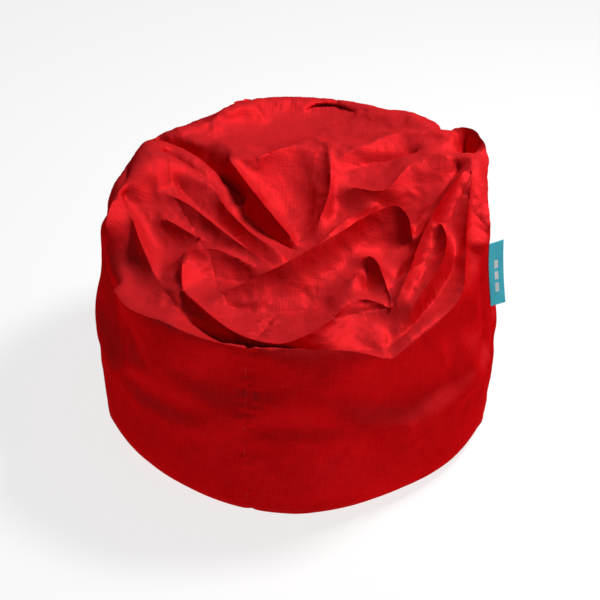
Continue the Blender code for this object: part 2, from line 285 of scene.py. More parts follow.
bag = {
    "wallRadius": 0.385, "floorRadius": 0.379, "tuckHeight": 0.045,
    "seatHeight": 0.372, "backHeight": 0.490, "backDepth": 0.22,
    "sideSlope": 0.018, "sideWrap": 0.45, "middleRound": 0.06,
    "frontRimRound": 0.014, "backRimRound": 0.05, "rimWrap": 0.45, "rimStart": 0.02, "rimEase": 0.2,
    "crease": 0.45, "frontSeam": -13.0, "columns": 240, "rows": 34, "spacing": 0.0088,
    "easePasses": 600, "easeLoss": 0.02, "slackRows": 12,
}


def smoothStep(share):
    share = np.clip(share, 0, 1)
    return share * share * (3 - 2 * share)


def fillHeight(x, y):
    back = y + bag["sideWrap"] * (np.hypot(x, bag["middleRound"]) - bag["middleRound"])
    height = bag["seatHeight"] + (bag["backHeight"] - bag["seatHeight"]) * smoothStep(back / bag["backDepth"])
    return height - bag["sideSlope"] * x * smoothStep(back / bag["backDepth"])


def rimRound(x, y):
    share = smoothStep((y + bag["rimWrap"] * np.abs(x) + bag["rimStart"]) / bag["rimEase"])
    return bag["frontRimRound"] + (bag["backRimRound"] - bag["frontRimRound"]) * share


def azimuthDirections(azimuths):
    angles = np.radians(azimuths)
    return np.stack([np.sin(angles), -np.cos(angles)], axis=-1)


# Outline of the floor it stands on: azimuth, radius.
floorOutline = [(-90, 0.388), (-76, 0.386), (-63, 0.373), (-48, 0.364), (-33, 0.371), (-16, 0.379),
                (0, 0.383), (14, 0.375), (32, 0.364), (50, 0.374), (63, 0.376), (82, 0.388), (120, 0.380),
                (180, 0.377), (240, 0.382), (270, 0.388)]
# The slack sides lean in above sideFoot, and the heap of beads swells the wall low down.
stance = {"leanLeft": 0.027, "leanRight": 0.037, "sideFoot": 0.15, "sideRise": 0.27,
          "swell": 0.008, "swellHeight": 0.10, "swellReach": 0.10}


def floorReach(azimuths):
    places = np.array(floorOutline)
    return np.interp((np.asarray(azimuths) + 90) % 360 - 90, places[:, 0], places[:, 1])


def settle(points):
    azimuths = np.arctan2(points[:, 0], -points[:, 1])
    side = np.abs(np.sin(azimuths)) ** 1.5
    lean = np.where(points[:, 0] > 0, stance["leanRight"], stance["leanLeft"])
    change = -lean * side * smoothStep((points[:, 2] - stance["sideFoot"]) / stance["sideRise"])
    low = np.exp(-(((points[:, 2] - stance["swellHeight"]) / stance["swellReach"]) ** 2))
    change += stance["swell"] * low * np.minimum(1, points[:, 2] / 0.05)
    reach = np.hypot(points[:, 0], points[:, 1])
    scale = 1 + change / bag["wallRadius"] * np.minimum(1, reach / 0.33)
    return np.column_stack([points[:, :2] * scale[:, None], points[:, 2]])


def overShoulder(plan):
    reach = np.maximum(np.hypot(plan[:, 0], plan[:, 1]), 1e-9)
    out = plan / reach[:, None]
    wall = bag["wallRadius"]
    edge = rimRound(out[:, 0] * wall, out[:, 1] * wall)
    turn = np.clip((reach - (wall - edge)) / edge, 0, 1) * math.pi / 2
    flat = out * np.where(reach < wall - edge, reach, wall - edge + edge * np.sin(turn))[:, None]
    height = fillHeight(flat[:, 0], flat[:, 1]) - edge * (1 - np.cos(turn))
    return np.column_stack([flat, height])


def smoothPath(points, step):
    points = np.array(points, float)
    ends = np.vstack([2 * points[0] - points[1], points, 2 * points[-1] - points[-2]])
    dense = []
    for a, b, c, d in zip(ends, ends[1:], ends[2:], ends[3:]):
        t = np.linspace(0, 1, 40, endpoint=False)[:, None]
        bend, twist = 2 * a - 5 * b + 4 * c - d, 3 * b - 3 * c + d - a
        dense.append(0.5 * (2 * b + (c - a) * t + bend * t**2 + twist * t**3))
    dense = np.vstack(dense + [points[-1:]])
    run = np.concatenate([[0], np.cumsum(np.linalg.norm(np.diff(dense[:, :2], axis=0), axis=1))])
    stops = np.linspace(0, run[-1], max(2, int(round(run[-1] / step)) + 1))
    return np.stack([np.interp(stops, run, dense[:, k]) for k in range(dense.shape[1])], axis=1)


# Creases and hollows of the slack cover: (x, y, z) in centimetres along each, and how far the cloth there
# leans outwards from where it was cut.
foldLines = {
    "moundEdge": ([(-13.5, 12.5, 47), (-9, 3.7, 45.5), (-4.6, -2.3, 43), (-1.2, -4.9, 40)], 0),
    "leftGully": ([(-29.4, 20.2, 45.5), (-22, 18.7, 44.5), (-18, 15.5, 43.5), (-13.5, 10.5, 42),
                   (-9, 4.2, 40.5)], -1.2),
    "lowGully": ([(-9.8, 2.2, 40.5), (-5.6, -2.9, 39), (-0.8, -6.2, 37.5)], 0),
    "funnel": ([(3.4, 10.4, 43.6), (3.6, 4.1, 41), (1.7, -1.1, 38.5), (-0.2, -3.7, 37.5)], 0),
    "funnelWall": ([(5.9, 17.5, 48), (6.6, 10.2, 46), (6, 3.9, 43.5), (3.8, -1.3, 40.5)], 0),
    "funnelTop": ([(-7.5, 12.7, 47), (-3.4, 15.3, 47.5), (0.7, 16.8, 47.5)], 0),
    "pillowRidge": ([(8, 12.8, 46.5), (11, 14.6, 47.5), (15, 16.7, 48.5), (23.3, 19.3, 49.5),
                     (30.5, 15.5, 50)], 0),
    "pillowHollow": ([(10, 10.8, 45), (15, 12.9, 45.3), (23, 14.5, 46.2)], 0),
    "pillowFront": ([(10.3, 5.4, 44.7), (16.6, 3.4, 45.2), (20.5, 7.4, 47), (24, 10.5, 48),
                     (29, 9.3, 49)], 0),
    "secondRidge": ([(-26, 14.7, 46.5), (-17.8, 9, 44.5), (-13.7, 0.7, 43), (-8.8, -5.8, 41.5),
                     (-2.5, -10.5, 39.5)], 0),
    "ridgeGap": ([(-23, 6.5, 43.5), (-14.8, -1.5, 40.5), (-8.8, -8.5, 39), (-4.6, -12.2, 38.3)], 0),
    "firstRidge": ([(-26, 3, 45), (-20.5, 0, 44), (-14.5, -6.3, 42.5), (-8.7, -11.6, 41),
                    (-4, -14.7, 39.5)], 0),
    "leftSlope": ([(-25, -3.2, 43), (-18, -7.5, 41)], 0),
    "lipCrown": ([(-20.9, -13.2, 42), (-15.3, -11.8, 41.5), (-8.6, -14.4, 40)], 0),
    "lipHollow": ([(-16.9, -15.9, 38.5), (-10.7, -16.5, 37.3), (-7.5, -17.3, 37.7)], 0),
    "lipLeft": ([(-21, -15.3, 41), (-20.9, -19.6, 39)], 1.5),
    "lipEdge": ([(-20.6, -21, 38.5), (-14.7, -29.2, 38.5), (-10, -34.2, 38.5), (-5.2, -36.6, 38.5),
                 (-1.3, -36.4, 38.5), (5, -31.3, 38.5), (9.3, -25.3, 39), (13.6, -24.8, 39),
                 (17.2, -27, 38.5)], 3.0),
    "crevice": ([(-32.8, 1.5, 45), (-29.2, -9.4, 42), (-25.3, -17, 38.3), (-21, -24.2, 36.3),
                 (-15.2, -30.5, 35.3), (-9.5, -34, 35), (-4, -35, 35), (7, -34.7, 35),
                 (14, -33.5, 34.5)], 0),
    "rollCrest": ([(-13.7, -22.3, 38.7), (-8.5, -20, 40.5), (-3.4, -18, 42), (1.6, -15.4, 43.5),
                   (6.8, -11.8, 44.5), (10.9, -8.6, 45.5), (16.2, -5.4, 46.5), (18.8, -5.4, 47),
                   (21, -8.9, 46)], 0),
    "rollFoot": ([(-11.5, -23.7, 37.2), (-5.4, -24.9, 36.5), (1.6, -24, 36.2), (5, -22.8, 36.6)], 0),
    "rollBack": ([(-4.5, -13.8, 38.3), (0, -11, 38.8), (5, -6, 40), (9, -2, 41.5), (15, 1.5, 43.5)], 0),
    "pleatLeft": ([(5.6, -24.2, 37.2), (8.7, -21.4, 39), (11.5, -18.2, 41)], 0),
    "pleatSlit": ([(12.7, -15.5, 40), (12.5, -20, 37.8)], 0),
    "pleatRight": ([(12.9, -14.8, 42.2), (14.3, -16.4, 42.3), (15.7, -20.7, 41), (16.6, -24.5, 39.3)], 0),
    "longGully": ([(31, 7.9, 47), (26.6, 0.7, 44.7), (23.2, -3.8, 43), (20.3, -10.5, 40.8),
                   (17.9, -17.8, 38.5)], 0),
    "longRidge": ([(31.7, 2.6, 50), (26.5, -5.3, 47.7), (23, -12, 45), (19.7, -21.3, 42),
                   (17.6, -25.8, 39.6)], 0),
    "loopRidge": ([(26.3, -9.7, 46.2), (27.2, -13.7, 45.6), (26.4, -18, 43.7), (24.2, -21.4, 41.7),
                   (20, -27, 39)], 0),
    "loopHollow": ([(24.9, -10.5, 44), (24.4, -15.5, 42), (21.9, -20.3, 40)], 0),
    "rightGully": ([(29.3, -10.4, 43), (28.7, -15.4, 41), (25.5, -21.4, 38.2), (20, -28.7, 36),
                    (15.5, -33.3, 34.5)], 0),
    "rightRim": ([(33.3, 7.5, 50), (32.5, -1.5, 48.5), (31.2, -9.8, 45.5), (30.5, -17.3, 42.7),
                  (28.4, -25.2, 38.8), (16.6, -36.4, 35)], 0),
    "frontRim": ([(-33.7, -19, 37.7), (-29.9, -25, 37.3), (-23.9, -29.8, 38), (-16.9, -34.5, 38),
                  (-8.2, -37.6, 38), (6.9, -37.8, 37.7), (16.6, -36.4, 35)], 0),
    "leftShoulder": ([(-35.9, -7.2, 44), (-34.6, -1.9, 46)], 0),
    "leftRim": ([(-33.4, 0.8, 46.6), (-32.5, 5.2, 46.8), (-32.4, 9.4, 46.8), (-31.6, 14, 46.8),
                 (-29.4, 18.8, 46.8), (-27.5, 21.5, 46.8)], -2.4),
    "backLeftRim": ([(-25.2, 23.4, 46.8), (-20.9, 26, 46.8), (-17.8, 27.2, 47.2), (-16.5, 29.3, 47.8),
                     (-13.8, 32, 48.2), (-9.9, 34, 48.2)], -2),
    "rightShoulder": ([(36.3, -7.5, 43.5), (36, -1.9, 46), (36.3, 4.5, 47.5), (37, 10.5, 48.5)], 0),
    "backRightRim": ([(13.3, 33, 48.1), (21.6, 28.9, 48.4), (24.7, 26.6, 48.4), (28.4, 22.9, 48.7)], -0.8),
    "cornerHole": ([(33.3, 17.5, 44), (33.5, 13.6, 43)], 0),
    "cornerEdge": ([(30.9, 20.2, 49.8), (34.7, 17.3, 50.6), (36.5, 12, 50.2)], 0),
}

# Where the crown is sewn on, as places in plan (cm), from the front seam round to the right.
crownSeam = {
    "joins": {"front": (-4.2, -25.8), "right": (31.0, -2.0), "back": (7.3, 33.0), "left": (-26.5, 12.5)},
    "between": {
        "front": [(3, -27.0), (11, -25.5), (20, -20), (26.5, -11)],
        "right": [(33.5, 5), (33.5, 14), (28, 23.5), (18, 30)],
        "back": [(-6, 36), (-17, 32.8), (-26, 25.5), (-29.5, 18.5)],
        "left": [(-23.2, 2.0), (-18.2, -7.5), (-15.0, -16.0), (-12.6, -22.6), (-8.4, -24.8)],
    },
}
panelNames = ["side_panel_front_right", "side_panel_back_right", "side_panel_back_left",
              "side_panel_front_left", "crown_panel"]


def crownSeamPath():
    points, joins = [], []
    for side in ("front", "right", "back", "left"):
        joins.append(len(points))
        points.append(crownSeam["joins"][side])
        points += crownSeam["between"][side]
    points = np.array(points + points[:1], float) / 100
    path = smoothPath(np.column_stack([points, np.zeros(len(points))]), bag["spacing"])[:-1, :2]
    starts = [int(np.argmin(np.linalg.norm(path - points[k], axis=1))) for k in joins]
    return path, starts


def inside(plan, loop):
    x, y = plan[:, 0][:, None], plan[:, 1][:, None]
    ax, ay = loop[:, 0][None], loop[:, 1][None]
    bx, by = np.roll(loop[:, 0], -1)[None], np.roll(loop[:, 1], -1)[None]
    crosses = (ay > y) != (by > y)
    with np.errstate(divide="ignore", invalid="ignore"):
        at = ax + (y - ay) * (bx - ax) / (by - ay)
    return (crosses & (x < at)).sum(1) % 2 == 1


def buildWall():
    columns, rows, wall = bag["columns"], bag["rows"], bag["wallRadius"]
    azimuths = bag["frontSeam"] + 360 * np.arange(columns) / columns
    out = azimuthDirections(azimuths)
    rim = overShoulder(out * wall)[:, 2]
    floor = floorReach(azimuths)
    points = []
    for row in range(rows + 1):
        height = rim * row / rows
        drop = np.clip(1 - height / bag["tuckHeight"], 0, 1)
        reach = floor + (wall - floor) * np.sqrt(1 - drop * drop)
        points.append(np.column_stack([out * reach[:, None], height]))
    faces, panels = [], []
    for row in range(rows):
        for i in range(columns):
            a, b = row * columns + i, row * columns + (i + 1) % columns
            faces.append((a, b, b + columns, a + columns))
            panels.append(i * 4 // columns)
    return np.vstack(points), faces, panels, out


def layFolds(points, edges):
    # Every fold line as a path in plan, where it is cut, and as the place in space that it is drawn to.
    step, wall = bag["spacing"], bag["wallRadius"]
    folds = []
    for line, lean in foldLines.values():
        place = smoothPath(np.array(line) / 100, step)
        reach = np.hypot(place[:, 0], place[:, 1])
        plan = place[:, :2] * (1 - lean / 100 / reach)[:, None]
        plan *= np.minimum(1, (wall - 0.7 * step) / np.hypot(plan[:, 0], plan[:, 1]))[:, None]
        edges += [(len(points) + k, len(points) + k + 1) for k in range(len(plan) - 1)]
        points += list(plan)
        folds.append((plan, place))
    return folds


def laySeams(points, edges, ring):
    # The crown's seam, and the four seams that come up to it from the rim, as chains of points.
    columns, first = len(ring), len(points)
    seam, joins = crownSeamPath()
    edges += [(first + k, first + (k + 1) % len(seam)) for k in range(len(seam))]
    points += list(seam)
    paths, chains = [seam], []
    for k, join in enumerate(joins):
        start = ring[k * columns // 4]
        path = start + (seam[join] - start) * np.linspace(0, 1, 12)[1:-1, None]
        chain = [k * columns // 4] + list(range(len(points), len(points) + len(path))) + [first + join]
        edges += list(zip(chain, chain[1:]))
        points += list(path)
        paths.append(path)
        chains.append(chain)
    chains.append([first + k % len(seam) for k in range(len(seam) + 1)])
    return seam, joins, paths, chains


def fillBetween(points, fixed, folds):
    step, wall = bag["spacing"], bag["wallRadius"]
    # rows of points to both sides of every fold, so that its slopes are smooth
    for path, _ in folds:
        along = np.gradient(path, axis=0)
        aside = np.stack([-along[:, 1], along[:, 0]], axis=1) / np.linalg.norm(along, axis=1)[:, None]
        for offset in (-0.7, 0.7, -1.5, 1.5):
            for spot in path + aside * offset * step:
                clear = np.min(np.sum((fixed - spot) ** 2, axis=1)) > (0.55 * step) ** 2
                if clear and np.hypot(*spot) < wall - 0.6 * step:
                    points.append(spot)
                    fixed = np.vstack([fixed, spot])
    # and a loose grid over the rest
    count = int(wall / (step * 0.85)) + 2
    i, j = np.meshgrid(np.arange(-count, count + 1), np.arange(-count, count + 1))
    grid = np.column_stack([((i + 0.5 * (j % 2)) * step).ravel(), (j * step * math.sqrt(3) / 2).ravel()])
    grid += np.random.default_rng(5).normal(0, 0.07 * step, grid.shape)
    grid = grid[np.hypot(grid[:, 0], grid[:, 1]) < wall - 0.6 * step]
    near = np.array([np.min(np.sum((fixed - p) ** 2, axis=1)) for p in grid])
    points += list(grid[near > (0.6 * step) ** 2])


def panelOf(middles, ring, seam, joins):
    columns = len(ring)
    crown = inside(middles, seam)
    panels = np.full(len(middles), 4)
    for k in range(4):
        a, b = joins[k], joins[(k + 1) % 4]
        inner = seam[np.arange(a, b if b > a else b + len(seam)) % len(seam)]
        outer = ring[np.arange(k * columns // 4, (k + 1) * columns // 4 + 1) % columns]
        panels[inside(middles, np.vstack([outer, seam[b % len(seam)][None], inner[::-1]])) & ~crown] = k
    return panels


def foldTargets(plan, folds):
    # The place that each point of a fold is drawn to, and the number of its fold.
    target = np.full((len(plan), 3), np.nan)
    lineOf = np.full(len(plan), -1)
    for line, (path, place) in enumerate(folds):
        nearest = np.full(len(plan), 1e9)
        spot = np.zeros((len(plan), 3))
        for a, b, low, high in zip(path, path[1:], place, place[1:]):
            along = np.clip((plan - a) @ (b - a) / ((b - a) @ (b - a) + 1e-12), 0, 1)[:, None]
            gap = np.sum((plan - a - along * (b - a)) ** 2, axis=1)
            closer = gap < nearest
            nearest[closer] = gap[closer]
            spot[closer] = (low + along * (high - low))[closer]
        hit = (nearest < 1e-8) & np.isnan(target[:, 0])
        target[hit] = spot[hit]
        lineOf[hit] = line
    return target, lineOf


def buildTop(out):
    ring = out * bag["wallRadius"]
    columns = len(ring)
    points = list(ring)
    edges = [(k, (k + 1) % columns) for k in range(columns)]
    folds = layFolds(points, edges)
    seam, joins, seamPaths, chains = laySeams(points, edges, ring)
    fillBetween(points, np.vstack(seamPaths + [plan for plan, _ in folds]), folds)
    made = delaunay_2d_cdt([Vector(p) for p in points], edges, [], 1, 1e-5)
    plan = np.array([tuple(v) for v in made[0]])
    triangles = np.array([tuple(f) for f in made[2]])
    ringOf = np.array([min([o for o in origin if o < columns], default=-1) for origin in made[3]])
    became = {o: k for k, origin in enumerate(made[3]) for o in origin}
    chains = [[became[o] for o in chain] for chain in chains]
    panels = panelOf(plan[triangles].mean(axis=1), ring, seam, joins)
    target, lineOf = foldTargets(plan, folds)
    return plan, triangles, ringOf, panels, target, chains, lineOf


def readArray(collection, name, width=1, kind=np.int32):
    values = np.empty(len(collection) * width, kind)
    collection.foreach_get(name, values)
    return values.reshape(-1, width) if width > 1 else values


def neighbourSum(values, edges):
    count = len(values)
    return np.stack([np.bincount(edges[:, 0], values[edges[:, 1], k], count)
                     + np.bincount(edges[:, 1], values[edges[:, 0], k], count) for k in range(3)], axis=1)


def easeBetween(points, faces, target, still):
    # Draws the folds to their places and spreads their moves evenly through the cloth between them.
    sides = np.vstack([np.stack([f, np.roll(f, -1)], axis=1) for f in faces])
    edges = np.unique(np.sort(sides, axis=1), axis=0)
    held = ~np.isnan(target[:, 0])
    move = np.zeros_like(points)
    move[held] = target[held] - points[held]
    fast = held | still
    degree = np.bincount(edges.ravel(), minlength=len(points)) * (1 + bag["easeLoss"])
    for _ in range(bag["easePasses"]):
        pull = neighbourSum(move, edges) / degree[:, None]
        pull[fast] = move[fast]
        move = pull
    return points + move, held


def buildCover():
    wallPoints, wallFaces, wallPanels, out = buildWall()
    plan, triangles, ringOf, topPanels, topTarget, chains, lineOf = buildTop(out)
    base = bag["rows"] * bag["columns"]
    fresh = np.where(ringOf < 0)[0]
    index = np.where(ringOf >= 0, base + ringOf, 0)
    index[fresh] = len(wallPoints) + np.arange(len(fresh))
    points = settle(np.vstack([wallPoints, overShoulder(plan[fresh])]))
    target = np.full((len(points), 3), np.nan)
    target[len(wallPoints):] = topTarget[fresh]
    faces = wallFaces + [tuple(f) for f in index[triangles]]
    still = np.zeros(len(points), bool)
    still[: (bag["rows"] - bag["slackRows"]) * bag["columns"]] = True
    points, held = easeBetween(points, faces, target, still)
    flat = np.vstack([np.tile(out * bag["wallRadius"], (bag["rows"] + 1, 1)), plan[fresh]])
    seamChains = [[int(index[k]) for k in chain] for chain in chains]
    for k in range(4):
        column = k * bag["columns"] // 4
        seamChains[k] = [row * bag["columns"] + column for row in range(bag["rows"])] + seamChains[k]
    cover = addMesh("coverCloth", points, faces)
    lines = np.full(len(points), -1)
    lines[len(wallPoints):] = lineOf[fresh]
    ends = lines[readArray(cover.data.edges, "vertices", 2)]
    folded = (ends[:, 0] == ends[:, 1]) & (ends[:, 0] >= 0)
    crease = cover.data.attributes.new("crease_edge", "FLOAT", "EDGE")
    crease.data.foreach_set("value", (folded * bag["crease"]).astype(np.float32))
    for k in range(5):
        cover.data.materials.append(bpy.data.materials.new(f"panel{k}"))
    cover.data.polygons.foreach_set("material_index", np.array(wallPanels + list(topPanels), dtype=np.int32))
    return cover, held, flat, seamChains


# The nylon, relaxed as cloth with a little more of it than the folds take up.
relaxing = {"frames": 20, "quality": 6, "spare": 0.02, "bending": 15.0, "stretch": 40.0, "mass": 0.2,
            "damping": 5, "airDamping": 3, "gravity": 0.3,
            "foldHold": 0.5, "wallHold": 0.6, "footRows": 9, "holdRows": 10}


def evaluatedMesh(item):
    return bpy.data.meshes.new_from_object(item.evaluated_get(bpy.context.evaluated_depsgraph_get()))


def relaxCover(cover, held):
    group = cover.vertex_groups.new(name="hold")
    columns = bag["columns"]
    group.add(list(range(columns * relaxing["footRows"])), 1.0, "REPLACE")
    for row in range(relaxing["footRows"], bag["rows"] + 1):
        hold = relaxing["wallHold"] * (1 - (row - relaxing["footRows"]) / relaxing["holdRows"])
        if hold > 0:
            group.add(list(range(row * columns, (row + 1) * columns)), hold, "REPLACE")
    group.add([int(k) for k in np.where(held)[0]], relaxing["foldHold"], "REPLACE")
    cloth = cover.modifiers.new("cloth", "CLOTH")
    settings = cloth.settings
    settings.quality = relaxing["quality"]
    settings.mass = relaxing["mass"]
    settings.tension_stiffness = settings.compression_stiffness = relaxing["stretch"]
    settings.shear_stiffness = relaxing["stretch"] / 2
    settings.bending_stiffness = relaxing["bending"]
    settings.tension_damping = settings.compression_damping = settings.shear_damping = relaxing["damping"]
    settings.air_damping = relaxing["airDamping"]
    settings.vertex_group_mass = "hold"
    settings.pin_stiffness = 1.0
    settings.shrink_min = -relaxing["spare"]
    settings.effector_weights.gravity = relaxing["gravity"]
    cloth.collision_settings.use_collision = False
    cloth.collision_settings.use_self_collision = False
    cloth.point_cache.frame_start, cloth.point_cache.frame_end = 1, relaxing["frames"]
    for frameNumber in range(1, relaxing["frames"] + 1):
        bpy.context.scene.frame_set(frameNumber)
    settled = evaluatedMesh(cover)
    cover.modifiers.clear()
    bpy.context.scene.frame_set(1)
    cover.data.vertices.foreach_set("co", readArray(settled.vertices, "co", 3, np.float32).ravel())
    cover.data.update()


seams = {
    "grooveDepth": 0.0022, "grooveWidth": 0.0042, "sinkDepth": 0.0012, "sinkWidth": 0.013,
    "puckerHeight": 0.0009, "puckerReach": 0.012,
    "depthOf": (1.0, 0.7, 0.7, 0.3, 0.5), "puckerOf": (1.6, 0.5, 0.4, 0.5, 0.15),
    "openGap": 0.0001, "edgeReach": 0.0012, "fabric": 0.0012,
}
# Soft swells of the wall: (azimuth, z) at both ends, half width across it, height. Degrees and millimetres.
wallSwells = [
    ((8, 60), (30, 330), 40, 3.0), ((-30, 330), (-45, 40), 45, 2.5), ((38, 330), (64, 120), 26, 5.0),
    ((27, 330), (36, 150), 20, -3.5), ((52, 355), (75, 240), 18, -3.0), ((-70, 330), (-80, 60), 40, -2.5),
    ((110, 380), (130, 80), 45, 3.5), ((140, 390), (152, 120), 35, -3.0), ((185, 380), (205, 90), 45, 3.5),
    ((225, 380), (215, 100), 38, -3.0), ((245, 390), (252, 120), 40, 3.0), ((-12, 200), (4, 120), 60, -1.5),
]
zipAzimuth, linerZipAzimuth, labelAzimuth = 167.0, 257.0, 77.0
# How far the slack wall leans in behind the label's top.
labelLean = {"depth": 0.018, "foot": 0.18, "rise": 0.22}
# Where the wall keeps its form: middle, degrees to both sides in full, degrees to where it ends, height.
steadyStrips = ((zipAzimuth, 5, 11, 0.452), (labelAzimuth, 3, 8, 0.415))
# Degrees to both sides of the liner's zip, and the reach and height that the cover keeps there.
overLinerZip = {"full": 5, "fade": 13, "reach": 0.3850, "footFade": 0.03, "top": 0.358, "topFade": 0.040}
zipMouth = {"halfWidth": 0.0063, "foot": 0.085, "top": 0.445, "reach": 0.040, "end": 0.008}


def azimuthOf(points):
    return np.degrees(np.arctan2(points[:, 0], -points[:, 1]))


def turnFrom(azimuths, middle):
    return (azimuths - middle + 180) % 360 - 180


def swellWall(points, normals):
    azimuths, reach = azimuthOf(points), np.hypot(points[:, 0], points[:, 1])
    fade = smoothStep((reach - 0.36) / 0.02) * smoothStep(points[:, 2] / 0.06)
    shift = np.zeros(len(points))
    for (azimuth1, z1), (azimuth2, z2), width, height in wallSwells:
        across = np.radians(turnFrom(azimuths, azimuth1)) * bag["wallRadius"]
        up = points[:, 2] - z1 / 1000
        runAcross, runUp = math.radians(azimuth2 - azimuth1) * bag["wallRadius"], (z2 - z1) / 1000
        along = np.clip((across * runAcross + up * runUp) / (runAcross**2 + runUp**2), 0, 1)
        gap = np.hypot(across - along * runAcross, up - along * runUp)
        shift += height / 1000 * np.exp(-((gap / (width / 1000)) ** 2))
    return points + normals * (shift * fade)[:, None]


def leanAtLabel(height):
    return labelLean["depth"] * smoothStep((height - labelLean["foot"]) / labelLean["rise"])


def steadyWall(points):
    # Beside the zip and the label the wall keeps the form that those pieces are fitted to.
    azimuths, reach = azimuthOf(points), np.hypot(points[:, 0], points[:, 1])
    wall, edge = bag["wallRadius"], bag["backRimRound"]
    onWall = reach > 0.33
    over = np.clip(points[:, 2] - (bag["backHeight"] - edge), 0, edge)
    drop = np.clip(1 - points[:, 2] / bag["tuckHeight"], 0, 1)
    atZip = reach * drop**2 + wall * (1 - drop**2)
    atZip -= edge - np.sqrt(edge**2 - over**2)
    for middle, full, none, top in steadyStrips:
        right = wall - leanAtLabel(points[:, 2]) if middle == labelAzimuth else atZip
        hold = 1 - smoothStep((np.abs(turnFrom(azimuths, middle)) - full) / (none - full))
        hold *= (1 - smoothStep((points[:, 2] - top) / 0.02)) * onWall
        points[:, :2] *= (1 + hold * (right / reach - 1))[:, None]
    # The liner's zip under the cover keeps the slack wall from leaning in over it.
    zone = overLinerZip
    reach = np.hypot(points[:, 0], points[:, 1])
    hold = 1 - smoothStep((np.abs(turnFrom(azimuths, linerZipAzimuth)) - zone["full"]) / zone["fade"])
    hold *= (1 - smoothStep((points[:, 2] - zone["top"]) / zone["topFade"])) * (reach > 0.33)
    hold *= smoothStep((points[:, 2] - bag["tuckHeight"]) / zone["footFade"])
    points[:, :2] *= (1 + hold * (np.maximum(reach, zone["reach"]) / np.maximum(reach, 0.1) - 1))[:, None]
    points[:, 2] = np.maximum(points[:, 2], 0)
    return points


# Evens the slopes between the folds of the slack top. A fold is evened only along itself.
evening = {"passes": 7, "foldPasses": 6, "foot": 0.24, "over": 0.08}


def meanOf(points, edges):
    degree = np.bincount(edges.ravel(), minlength=len(points))
    mean = neighbourSum(points, edges) / np.maximum(degree, 1)[:, None]
    return np.where(degree[:, None] > 0, mean, points), degree


def evenFolds(coarse, mesh, points):
    # The subdivided mesh lists the coarse points first and then one new point for each coarse edge.
    crease = readArray(coarse.attributes["crease_edge"].data, "value", 1, np.float32)
    folded = np.where(crease > 0)[0]
    ends = readArray(coarse.edges, "vertices", 2)[folded]
    foldEdges = np.vstack([np.column_stack([ends[:, k], len(coarse.vertices) + folded]) for k in (0, 1)])
    edges = readArray(mesh.edges, "vertices", 2)
    share = smoothStep((points[:, 2:3] - evening["foot"]) / evening["over"])
    onFold = np.zeros(len(points), bool)
    onFold[foldEdges.ravel()] = True
    even = points.copy()
    for step in range(evening["passes"]):
        around, _ = meanOf(even, edges)
        along, degree = meanOf(even, foldEdges)
        change = 0.5 * (around - even)
        if step < evening["foldPasses"]:
            change[onFold] = 0.5 * (along - even)[onFold] * (degree[onFold] > 1)[:, None]
        else:
            change[onFold] = 0
        even += change * share
    return even


# Small creases of nylon that has been sat on: size of a crease, height, and how far down the wall they fade.
creases = {"size": 0.040, "height": 0.0026, "fine": 0.017, "fineHeight": 0.0014,
           "fadeFrom": 0.20, "fadeOver": 0.20, "onWall": 0.12}


def creaseCloth(points, normals):
    upper = smoothStep((points[:, 2] - creases["fadeFrom"]) / creases["fadeOver"])
    share = creases["onWall"] + (1 - creases["onWall"]) * upper
    shift = np.zeros(len(points))
    sizes = (creases["size"], creases["height"], 3.1), (creases["fine"], creases["fineHeight"], 8.7)
    for size, height, salt in sizes:
        found = np.array([noise.noise(Vector(p) / size + Vector((salt, 0, salt))) for p in points])
        bend = np.array([noise.noise(Vector(p) / (2.6 * size) + Vector((0, salt, 0))) for p in points])
        shift += height * ((1 - 2 * np.abs(found)) * (0.4 + bend) - 0.3)
    return points + normals * (shift * share)[:, None]


def wave(run, salt):
    slow = 0.7 * np.sin(run * 147 + 2.3 * salt + 1)
    quick = 0.5 * np.sin(run * 431 + 1.7 * salt)
    return np.sin(run * 260 + salt) + slow + quick


def sewSeams(points, normals, lines):
    # Sinks the cloth along every seam and puckers it a little to both sides.
    tree = KDTree(sum(len(line) for line in lines))
    owner, runs, count = [], [], 0
    for k, line in enumerate(lines):
        run = np.concatenate([[0], np.cumsum(np.linalg.norm(np.diff(line, axis=0), axis=1))])
        for point in line:
            tree.insert(Vector(point), count)
            count += 1
        owner += [k] * len(line)
        runs += list(run)
    tree.balance()
    found = [tree.find(Vector(p)) for p in points]
    gap = np.array([f[2] for f in found])
    which = np.array([owner[f[1]] for f in found])
    run = np.array([runs[f[1]] for f in found])
    depth = np.array(seams["depthOf"])[which]
    shift = -depth * seams["grooveDepth"] * np.exp(-((gap / seams["grooveWidth"]) ** 2))
    shift -= depth * seams["sinkDepth"] * np.exp(-((gap / seams["sinkWidth"]) ** 2))
    rise = (gap / 0.006) ** 2 * np.exp(-((gap / seams["puckerReach"]) ** 2))
    height = np.array(seams["puckerOf"])[which] * seams["puckerHeight"] * smoothStep(points[:, 2] / 0.06)
    shift += height * rise * wave(run, which * 1.3)
    return points + normals * shift[:, None], gap


def meshArrays(mesh, moved=None):
    if moved is not None:
        mesh.vertices.foreach_set("co", moved.ravel().astype(np.float32))
        mesh.update()
    return [readArray(mesh.vertices, name, 3, np.float32).astype(float) for name in ("co", "normal")]


